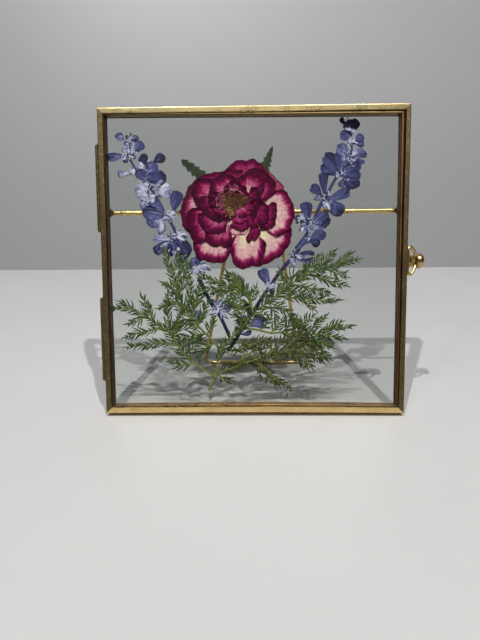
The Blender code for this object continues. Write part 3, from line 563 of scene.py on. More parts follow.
# Each petal, from the rearmost forward: its name and the CAD petal it stands for, if any.
# Then its tone at the root, middle and rim, the rim's width and how far it fades, the rim's
# curl and the warm stain. Then its root, and the points that its rim passes through.
ROSE_PETALS = (
    ("back_right", "upper_right_back", (0.3, 0.52, 0.84, 0.5, 1.5, 0.1, 0.9), (
        (3.0, 107.5), (6.6, 122.9), (11.0, 119.3), (14.1, 116.0), (15.9, 113.0), (14.6, 108.6),
    )),
    ("top_back", "top_back", (0.4, 0.56, 0.92, 0.9, 3.4, 0.15, 0.0), (
        (-3.6, 114.1), (-14.6, 121.5), (-11.1, 125.8), (-6.6, 127.7), (-2.2, 127.4),
        (0.1, 128.3), (3.5, 126.1), (7.0, 122.6),
    )),
    ("upper_left_back", "", (0.42, 0.6, 0.96, 1.0, 2.8, 0.15, 0.0), (
        (-10.3, 111.1), (-28.4, 118.7), (-24.4, 120.8), (-20.4, 121.7), (-16.4, 122.0),
        (-12.9, 123.2), (-8.4, 123.1), (-4.9, 122.4),
    )),
    ("left_outer", "left_outer", (0.0, 0.3, 0.97, 2.0, 3.4, 0.15, 0.12), (
        (-16.6, 103.3), (-29.7, 117.8), (-33.2, 113.9), (-35.3, 108.7), (-37.0, 104.3),
        (-36.5, 97.3), (-34.7, 92.9), (-30.9, 89.3),
    )),
    ("bottom_right", "bottom_right", (-0.04, 0.22, 0.92, 1.7, 4.4, 0.25, 0.0), (
        (1.2, 97.0), (8.8, 92.5), (13.7, 90.7), (18.6, 94.8), (19.7, 90.6), (18.7, 85.8),
        (14.7, 80.0), (8.8, 76.5), (3.4, 74.2), (1.1, 74.8),
    )),
    ("right_outer", "right_outer", (0.02, 0.23, 0.92, 0.9, 4.2, 0.3, 0.0), (
        (3.0, 100.5), (7.0, 108.3), (11.4, 112.4), (14.8, 113.1), (17.6, 110.8), (19.6, 107.1),
        (21.3, 101.8), (20.4, 97.2), (18.6, 93.3), (14.6, 90.0), (11.0, 89.4), (7.4, 91.4),
    )),
    ("bottom_left", "bottom_left", (0.02, 0.24, 0.91, 1.8, 4.2, 0.25, 0.0), (
        (-16.7, 93.6), (-30.7, 87.1), (-30.3, 82.2), (-28.4, 78.8), (-24.1, 77.0),
        (-16.9, 76.0), (-13.3, 78.0), (-11.2, 82.0), (-10.5, 86.0),
    )),
    ("cream_left", "", (0.02, 0.14, 0.42, 0.3, 1.6, 0.1, 0.0), (
        (-8.6, 97.5), (-17.4, 97.2), (-17.6, 93.4), (-15.4, 89.4), (-12.4, 86.2), (-9.4, 85.6),
        (-7.4, 89.0),
    )),
    ("left_lower", "left_lower", (0.12, 0.42, 0.95, 2.5, 4.6, 0.2, 0.0), (
        (-14.0, 98.9), (-28.2, 104.3), (-31.7, 104.0), (-34.0, 100.4), (-33.6, 95.5),
        (-32.2, 90.6), (-30.2, 86.6), (-27.1, 86.0), (-24.0, 87.2),
    )),
    ("bottom_centre", "bottom_centre", (-0.04, 0.22, 0.93, 1.6, 5.2, 0.25, 0.0), (
        (-3.7, 93.9), (-10.9, 88.7), (-11.9, 84.2), (-11.4, 79.8), (-10.0, 75.5), (-6.9, 72.9),
        (-3.4, 73.4), (-0.0, 74.3), (2.9, 74.7), (5.7, 80.5), (6.7, 85.9), (3.6, 89.2),
    )),
    ("upper_right_crescent", "upper_right", (0.22, 0.54, 0.95, 2.5, 3.8, 0.2, 0.0), (
        (-2.3, 109.2), (-3.1, 122.8), (3.1, 123.7), (8.0, 120.9), (11.1, 116.9), (11.8, 113.2),
        (9.3, 109.4), (5.2, 106.6),
    )),
    ("left_upper", "left_upper", (0.3, 0.47, 0.95, 2.0, 4.6, 0.25, 0.0), (
        (-15.7, 108.1), (-20.2, 118.5), (-24.9, 119.3), (-28.4, 118.6), (-30.7, 115.2),
        (-31.0, 110.4), (-29.6, 106.5), (-27.3, 103.7),
    )),
    ("lower_left_second", "lower_left", (0.22, 0.48, 0.94, 1.9, 3.6, 0.25, 0.0), (
        (-14.0, 97.1), (-24.6, 93.0), (-24.3, 88.2), (-22.9, 85.6), (-20.4, 84.7),
        (-16.8, 84.6), (-13.2, 84.0), (-10.8, 87.6), (-10.9, 90.4),
    )),
    ("upper_left", "upper_left_inner", (0.34, 0.46, 0.95, 1.5, 4.4, 0.2, 0.0), (
        (-10.8, 109.3), (-22.2, 109.7), (-21.8, 115.8), (-19.1, 119.3), (-15.1, 120.9),
        (-11.1, 120.6), (-7.9, 118.3),
    )),
    ("upper_right_inner", "upper_right_inner", (0.16, 0.42, 0.93, 1.2, 5.0, 0.2, 0.0), (
        (-2.3, 109.7), (-7.9, 118.3), (-4.5, 121.2), (-0.5, 122.0), (3.6, 120.5), (5.8, 117.0),
        (5.8, 113.5), (3.9, 107.9),
    )),
    ("right_second", "right_lower", (0.34, 0.66, 0.98, 1.4, 2.6, 0.2, 0.0), (
        (3.0, 99.6), (7.7, 105.4), (10.1, 106.8), (12.2, 105.2), (11.9, 101.2), (11.5, 96.4),
        (9.8, 94.0), (7.0, 92.5), (3.4, 92.5),
    )),
    ("lower_left_inner", "", (0.24, 0.48, 0.95, 2.0, 3.8, 0.25, 0.0), (
        (-13.1, 101.0), (-28.3, 101.4), (-27.9, 97.2), (-26.1, 93.7), (-22.1, 91.3),
        (-17.6, 91.3), (-13.9, 92.1), (-14.2, 94.4),
    )),
    ("lower_cream", "", (0.1, 0.22, 0.5, 0.23, 0.9, 0.1, 0.0), (
        (-6.8, 97.9), (-12.1, 93.8), (-10.9, 91.3), (-7.3, 90.3), (-4.0, 90.7), (-1.7, 93.9),
    )),
    ("lower_right_fold", "", (0.6, 0.78, 0.96, 0.92, 1.8, 0.2, 0.0), (
        (1.2, 96.1), (3.4, 92.5), (3.4, 90.2), (0.5, 87.3), (-0.5, 88.1), (-2.4, 86.0),
        (-3.8, 88.6), (-2.4, 91.7), (-1.5, 94.3),
    )),
    ("left_mid", "left_inner", (0.4, 0.68, 0.98, 2.2, 2.8, 0.25, 0.0), (
        (-12.6, 105.9), (-20.5, 109.7), (-24.6, 109.9), (-27.8, 109.4), (-27.6, 106.2),
        (-26.4, 102.7), (-23.6, 100.0), (-20.2, 97.5), (-16.2, 96.6),
    )),
    ("lower_small", "lower_inner", (0.55, 0.72, 0.94, 0.7, 1.6, 0.2, 0.0), (
        (-6.4, 99.7), (-12.0, 95.3), (-11.2, 93.9), (-8.4, 92.7), (-4.5, 92.1), (-2.3, 93.8),
        (-1.3, 97.0),
    )),
    ("right_crumpled", "right_inner", (0.5, 0.74, 0.98, 1.2, 2.3, 0.3, 0.0), (
        (-1.4, 103.1), (3.0, 108.8), (5.8, 106.5), (8.0, 103.8), (8.0, 99.5), (7.1, 96.4),
        (3.9, 95.1), (-0.1, 94.1),
    )),
    ("left_ring", "", (0.44, 0.72, 0.98, 1.5, 2.6, 0.25, 0.0), (
        (-11.7, 106.7), (-17.8, 112.2), (-21.2, 111.6), (-22.9, 108.9), (-22.0, 105.0),
        (-18.4, 101.3), (-15.8, 97.5), (-11.7, 97.0),
    )),
    ("right_ring", "", (0.6, 0.8, 1.0, 1.38, 2.1, 0.25, 0.0), (
        (-3.2, 106.2), (-1.2, 114.0), (1.4, 114.5), (3.2, 112.2), (3.6, 108.2), (3.2, 103.9),
        (1.7, 100.4), (-0.1, 97.6),
    )),
    ("top_ring", "", (0.46, 0.64, 0.96, 1.3, 2.6, 0.25, 0.0), (
        (-8.3, 109.7), (-14.9, 110.9), (-14.4, 114.2), (-12.9, 116.3), (-10.2, 117.7),
        (-7.5, 117.1), (-5.7, 115.3), (-2.6, 113.5),
    )),
    ("lower_ring", "", (0.42, 0.54, 0.76, 0.4, 1.4, 0.15, 0.0), (
        (-7.2, 104.5), (-12.7, 101.0), (-11.2, 97.5), (-7.1, 96.1), (-3.2, 97.3),
        (-1.7, 100.5),
    )),
    ("right_low_ring", "", (0.58, 0.76, 0.94, 0.57, 1.8, 0.15, 0.0), (
        (-3.7, 103.6), (-1.9, 102.3), (0.1, 98.3), (0.4, 95.1), (-1.5, 93.8), (-3.2, 96.1),
    )),
)

# Each floret: its kind, root and tip, width, and tone from pale lavender to navy.
LEFT_FLORETS = (
    ("bud", (-64.3, 138.9), (-68.8, 139.8), 3.8, 0.45),
    ("bud", (-60.2, 137.7), (-56.6, 139.0), 3.6, 0.60),
    ("round", (-58.9, 132.2), (-55.1, 137.0), 4.5, 0.68),
    ("bud", (-62.0, 138.1), (-63.0, 140.2), 1.9, 0.70),
    ("bud", (-61.7, 136.1), (-64.4, 136.5), 2.7, 0.50),
    ("bud", (-61.8, 133.8), (-62.3, 137.0), 2.8, 0.42),
    ("bud", (-60.0, 133.8), (-60.4, 136.5), 2.5, 0.40),
    ("bud", (-63.1, 131.6), (-65.2, 133.9), 2.8, 0.30),
    ("bud", (-61.9, 131.0), (-61.8, 134.3), 2.7, 0.25),
    ("bud", (-60.8, 130.7), (-58.9, 133.3), 2.9, 0.20),
    ("wedge", (-64.6, 130.2), (-73.1, 129.2), 3.9, 0.62),
    ("calyx", (-63.2, 129.8), (-65.3, 127.8), 2.7, 0.10),
    ("bud", (-62.5, 129.3), (-64.7, 126.7), 2.6, 0.72),
    ("calyx", (-61.5, 129.8), (-58.1, 129.7), 2.5, 0.30),
    ("bud", (-60.1, 130.2), (-58.4, 128.7), 2.1, 0.85),
    ("wedge", (-61.5, 122.0), (-67.9, 121.2), 4.1, 0.25),
    ("calyx", (-59.4, 123.4), (-61.8, 121.6), 2.7, 0.02),
    ("calyx", (-59.3, 123.0), (-60.9, 120.3), 2.5, 0.08),
    ("round", (-52.0, 125.1), (-55.5, 131.1), 4.1, 1.00),
    ("round", (-49.8, 126.9), (-43.5, 129.5), 3.5, 0.92),
    ("calyx", (-54.7, 124.7), (-57.3, 126.8), 2.7, 0.05),
    ("calyx", (-55.2, 123.8), (-58.2, 124.3), 2.5, 0.08),
    ("round", (-53.9, 120.2), (-47.8, 126.1), 5.3, 0.60),
    ("round", (-52.5, 117.5), (-43.3, 120.2), 5.7, 0.74),
    ("round", (-53.5, 117.5), (-58.2, 123.0), 4.3, 0.72),
    ("wedge", (-54.4, 118.4), (-49.0, 121.5), 5.4, 0.62),
    ("wedge", (-49.1, 114.2), (-44.6, 117.9), 3.1, 0.30),
    ("calyx", (-52.1, 115.6), (-55.1, 117.3), 2.5, 0.03),
    ("round", (-52.4, 112.9), (-59.4, 113.9), 4.7, 0.14),
    ("round", (-51.8, 110.8), (-57.8, 109.8), 3.7, 0.18),
    ("calyx", (-49.2, 110.1), (-52.5, 110.4), 3.1, 0.00),
    ("calyx", (-49.5, 109.4), (-51.4, 106.5), 2.7, 0.04),
    ("round", (-50.7, 108.1), (-56.0, 107.0), 2.7, 0.20),
    ("round", (-54.7, 107.7), (-55.9, 103.7), 2.6, 0.40),
    ("round", (-47.1, 111.0), (-40.9, 115.4), 3.9, 0.12),
    ("round", (-47.1, 111.3), (-41.4, 110.7), 3.6, 0.24),
    ("wedge", (-40.0, 102.7), (-38.1, 113.0), 5.9, 0.68),
    ("calyx", (-42.2, 100.4), (-40.0, 104.1), 2.7, 0.02),
    ("calyx", (-42.6, 100.5), (-44.0, 102.8), 2.1, 0.02),
    ("calyx", (-42.2, 100.2), (-37.9, 101.6), 2.7, 0.00),
    ("calyx", (-42.0, 100.0), (-39.2, 98.3), 2.9, 0.04),
    ("calyx", (-43.1, 100.0), (-45.0, 98.4), 2.2, 0.10),
    ("round", (-44.5, 100.5), (-56.1, 103.4), 5.7, 0.66),
    ("round", (-44.5, 99.5), (-54.0, 96.9), 5.3, 0.56),
    ("wedge", (-45.0, 99.1), (-51.4, 95.2), 4.0, 0.40),
    ("bud", (-46.7, 98.0), (-47.5, 90.8), 4.6, 0.28),
    ("round", (-41.7, 89.9), (-51.0, 88.4), 3.5, 0.20),
    ("wedge", (-42.2, 88.0), (-50.3, 81.8), 5.6, 0.66),
    ("wedge", (-42.1, 90.3), (-32.9, 79.6), 6.7, 0.84),
    ("round", (-41.0, 88.9), (-37.9, 79.3), 5.4, 0.78),
    ("calyx", (-38.3, 84.7), (-37.3, 82.5), 2.2, 0.00),
    ("calyx", (-38.6, 90.7), (-34.7, 89.1), 4.1, 0.05),
    ("calyx", (-38.2, 90.3), (-32.8, 90.2), 2.7, 0.02),
    ("calyx", (-38.6, 90.3), (-34.4, 87.2), 2.9, 0.10),
    ("calyx", (-38.6, 91.2), (-36.2, 93.3), 2.3, 0.15),
    ("round", (-39.2, 83.3), (-40.8, 81.2), 2.5, 0.10),
    ("round", (-37.9, 80.5), (-35.8, 76.8), 3.6, 0.34),
    ("round", (-35.5, 79.6), (-37.9, 77.2), 2.7, 0.30),
    ("round", (-28.3, 74.4), (-32.0, 78.6), 5.4, 0.50),
    ("round", (-28.3, 74.8), (-28.0, 78.8), 4.0, 0.78),
    ("calyx", (-28.5, 74.4), (-23.5, 76.9), 2.3, 0.00),
    ("calyx", (-28.3, 74.1), (-21.1, 73.8), 2.5, 0.00),
    ("calyx", (-28.5, 73.9), (-24.3, 71.6), 2.2, 0.05),
    ("calyx", (-29.0, 73.9), (-32.6, 73.9), 2.3, 0.10),
    ("calyx", (-28.8, 73.9), (-31.9, 71.1), 2.1, 0.06),
    ("calyx", (-28.5, 73.7), (-28.1, 70.4), 2.2, 0.04),
    ("bud", (-17.5, 53.9), (-21.4, 58.6), 2.8, 0.50),
    ("round", (-17.5, 53.9), (-10.7, 54.8), 2.7, 0.30),
    ("calyx", (-17.5, 53.9), (-22.7, 49.8), 2.8, 0.00),
    ("calyx", (-17.5, 53.7), (-13.1, 47.6), 2.3, 0.12),
    ("calyx", (-18.0, 53.9), (-19.9, 50.3), 2.6, 0.02),
    ("calyx", (-17.5, 54.2), (-13.9, 51.8), 2.6, 0.05),
    ("calyx", (-18.0, 54.7), (-16.4, 59.1), 2.2, 0.12),
    ("calyx", (-17.8, 54.4), (-19.3, 54.7), 2.8, 0.06),
)
RIGHT_FLORETS = (
    ("wedge", (47.4, 141.9), (42.8, 147.0), 2.7, 1.00),
    ("round", (46.4, 142.8), (52.8, 143.7), 3.5, 0.98),
    ("bud", (45.3, 144.6), (50.4, 145.0), 2.2, 1.00),
    ("calyx", (48.0, 141.0), (44.4, 142.4), 2.4, 0.05),
    ("calyx", (48.0, 140.8), (51.3, 141.0), 2.8, 0.08),
    ("calyx", (48.0, 140.8), (46.6, 142.6), 2.1, 0.00),
    ("round", (48.0, 136.2), (43.3, 140.6), 4.1, 0.58),
    ("calyx", (48.2, 135.3), (46.6, 137.6), 2.3, 0.10),
    ("calyx", (48.5, 134.8), (50.4, 137.3), 2.3, 0.12),
    ("round", (49.5, 136.0), (54.7, 138.0), 3.1, 0.56),
    ("round", (49.5, 135.5), (54.9, 133.8), 2.9, 0.58),
    ("round", (47.1, 129.4), (41.6, 134.0), 3.6, 0.38),
    ("round", (47.0, 128.9), (42.7, 128.5), 2.3, 0.22),
    ("bud", (46.8, 128.4), (44.5, 130.3), 2.0, 0.80),
    ("round", (48.9, 127.9), (56.3, 129.6), 4.3, 0.56),
    ("round", (48.9, 128.4), (51.4, 132.0), 2.9, 0.14),
    ("calyx", (48.2, 127.0), (51.0, 126.0), 2.8, 0.20),
    ("calyx", (48.0, 126.1), (48.7, 124.2), 2.3, 0.30),
    ("round", (49.6, 125.1), (53.5, 126.7), 3.1, 0.86),
    ("round", (42.5, 119.6), (35.8, 130.6), 4.8, 0.62),
    ("round", (42.4, 119.6), (33.5, 124.4), 4.8, 0.72),
    ("round", (42.8, 119.9), (44.9, 128.0), 3.9, 0.50),
    ("wedge", (43.3, 120.1), (47.3, 127.5), 2.6, 0.86),
    ("round", (43.6, 119.3), (53.5, 124.2), 4.3, 0.58),
    ("round", (43.8, 119.2), (53.4, 119.8), 4.0, 0.62),
    ("round", (44.0, 118.9), (53.0, 114.2), 4.8, 0.60),
    ("wedge", (43.6, 119.6), (49.2, 123.5), 4.2, 0.36),
    ("round", (45.0, 117.8), (43.2, 113.6), 3.1, 0.52),
    ("wedge", (35.7, 110.3), (34.9, 121.2), 5.6, 0.70),
    ("round", (34.2, 109.5), (29.1, 115.2), 3.7, 0.62),
    ("calyx", (34.2, 108.3), (29.9, 108.6), 2.9, 0.30),
    ("calyx", (34.6, 108.5), (32.3, 109.9), 2.3, 0.75),
    ("wedge", (36.8, 106.6), (48.2, 112.4), 4.4, 0.54),
    ("wedge", (37.5, 108.5), (47.5, 110.7), 2.8, 0.42),
    ("round", (38.7, 107.3), (43.8, 99.5), 5.4, 0.66),
    ("wedge", (39.4, 107.1), (40.0, 101.4), 2.3, 0.30),
    ("calyx", (36.1, 106.1), (39.0, 102.4), 3.1, 0.02),
    ("calyx", (35.6, 106.2), (35.6, 103.3), 2.8, 0.10),
    ("calyx", (35.6, 105.7), (37.5, 106.6), 2.5, 0.25),
    ("wedge", (27.6, 97.3), (25.5, 106.8), 5.9, 0.66),
    ("calyx", (25.6, 97.3), (22.5, 101.1), 2.0, 0.00),
    ("round", (23.7, 97.8), (20.9, 99.2), 2.6, 0.70),
    ("calyx", (26.1, 94.9), (23.3, 91.6), 3.1, 0.00),
    ("calyx", (26.6, 95.8), (23.5, 94.9), 2.6, 0.30),
    ("calyx", (27.1, 94.4), (27.6, 90.1), 2.3, 0.20),
    ("calyx", (27.6, 94.4), (30.2, 93.2), 2.2, 0.30),
    ("wedge", (29.3, 94.9), (37.3, 101.4), 5.2, 0.64),
    ("round", (29.7, 95.1), (38.8, 98.1), 3.7, 0.74),
    ("wedge", (30.0, 94.9), (36.9, 94.6), 2.5, 0.40),
    ("wedge", (29.4, 95.3), (34.3, 98.1), 3.2, 0.30),
    ("round", (28.3, 88.2), (36.6, 91.2), 4.3, 0.54),
    ("round", (27.9, 88.0), (33.5, 85.6), 4.4, 0.72),
    ("wedge", (28.1, 88.2), (32.9, 88.7), 3.7, 0.30),
    ("wedge", (21.4, 82.5), (28.8, 88.7), 4.3, 0.52),
    ("wedge", (20.9, 79.7), (31.1, 80.9), 2.9, 0.66),
    ("wedge", (20.4, 79.2), (29.9, 77.1), 2.1, 0.30),
    ("calyx", (21.4, 80.1), (24.8, 78.0), 2.3, 0.00),
    ("wedge", (8.5, 64.9), (4.4, 73.9), 4.5, 0.42),
    ("wedge", (8.3, 64.9), (2.6, 73.2), 2.5, 0.70),
    ("calyx", (8.3, 64.7), (5.9, 67.0), 2.5, 0.00),
    ("calyx", (8.8, 64.9), (11.6, 66.2), 2.6, 0.10),
    ("bud", (8.8, 63.9), (9.7, 59.6), 2.3, 0.90),
    ("calyx", (8.3, 64.4), (6.7, 66.0), 2.3, 0.05),
    ("round", (19.6, 76.9), (20.7, 74.5), 1.7, 0.20),
)
# The loose petals: their name, the CAD petal they stand for, if any, and the floret.
LOOSE_PETALS = (
    ("low_right", "lower_right", ("round", (-2.2, 44.1), (6.4, 48.3), 4.8, 0.55)),
    ("low_left", "lower_left", ("round", (-27.5, 45.9), (-28.7, 52.7), 4.0, 0.30)),
    ("upper", "", ("round", (-1.6, 49.7), (-4.7, 56.6), 2.8, 0.90)),
    ("middle", "", ("round", (-4.5, 50.2), (-6.9, 44.1), 4.5, 0.40)),
    ("lowest", "", ("round", (-6.9, 40.3), (-1.0, 41.8), 2.5, 0.60)),
)

# The stems: the points of each, its half width at both ends, half thickness and tone, and a
# number that gives it fibres of its own.
LEFT_STEMS = (
    ((
        (-62.4, 130.7), (-60.2, 126.1), (-58.2, 122.5), (-54.4, 117.0), (-52.1, 114.7),
        (-49.2, 111.0), (-44.9, 102.8), (-42.2, 98.1), (-39.1, 92.1), (-35.0, 83.3),
    ), 0.55, 0.85, 0.26, 0.74, 50.0),
    ((
        (-28.5, 68.2), (-27.0, 67.2), (-22.2, 57.1), (-17.0, 49.0), (-12.3, 38.7),
    ), 0.95, 0.9, 0.28, 0.88, 51.0),
)
RIGHT_STEMS = (
    ((
        (47.1, 143.1), (48.0, 139.4), (48.6, 133.9), (48.4, 128.4), (44.9, 122.4),
        (41.2, 118.3), (36.1, 109.0), (32.8, 103.8), (29.5, 95.3), (25.2, 88.2), (21.4, 83.5),
    ), 0.6, 0.95, 0.26, 0.8, 52.0),
    ((
        (24.6, 87.8), (21.6, 81.2), (16.5, 75.6), (10.3, 67.5), (-0.0, 52.3), (-9.0, 37.9),
        (-13.3, 31.5),
    ), 1.0, 0.9, 0.28, 0.9, 53.0),
)

# How deep in the gap each sprig lies.
SPRIG_DEPTHS = {
    "left_sprig": 3.72, "inner_left_sprig": 4.24, "right_sprig": 3.72, "lower_right_sprig": 4.24,
    "bottom_sprig": 3.2, "bottom_twig": 3.72, "upper_sprig": 3.2,
}
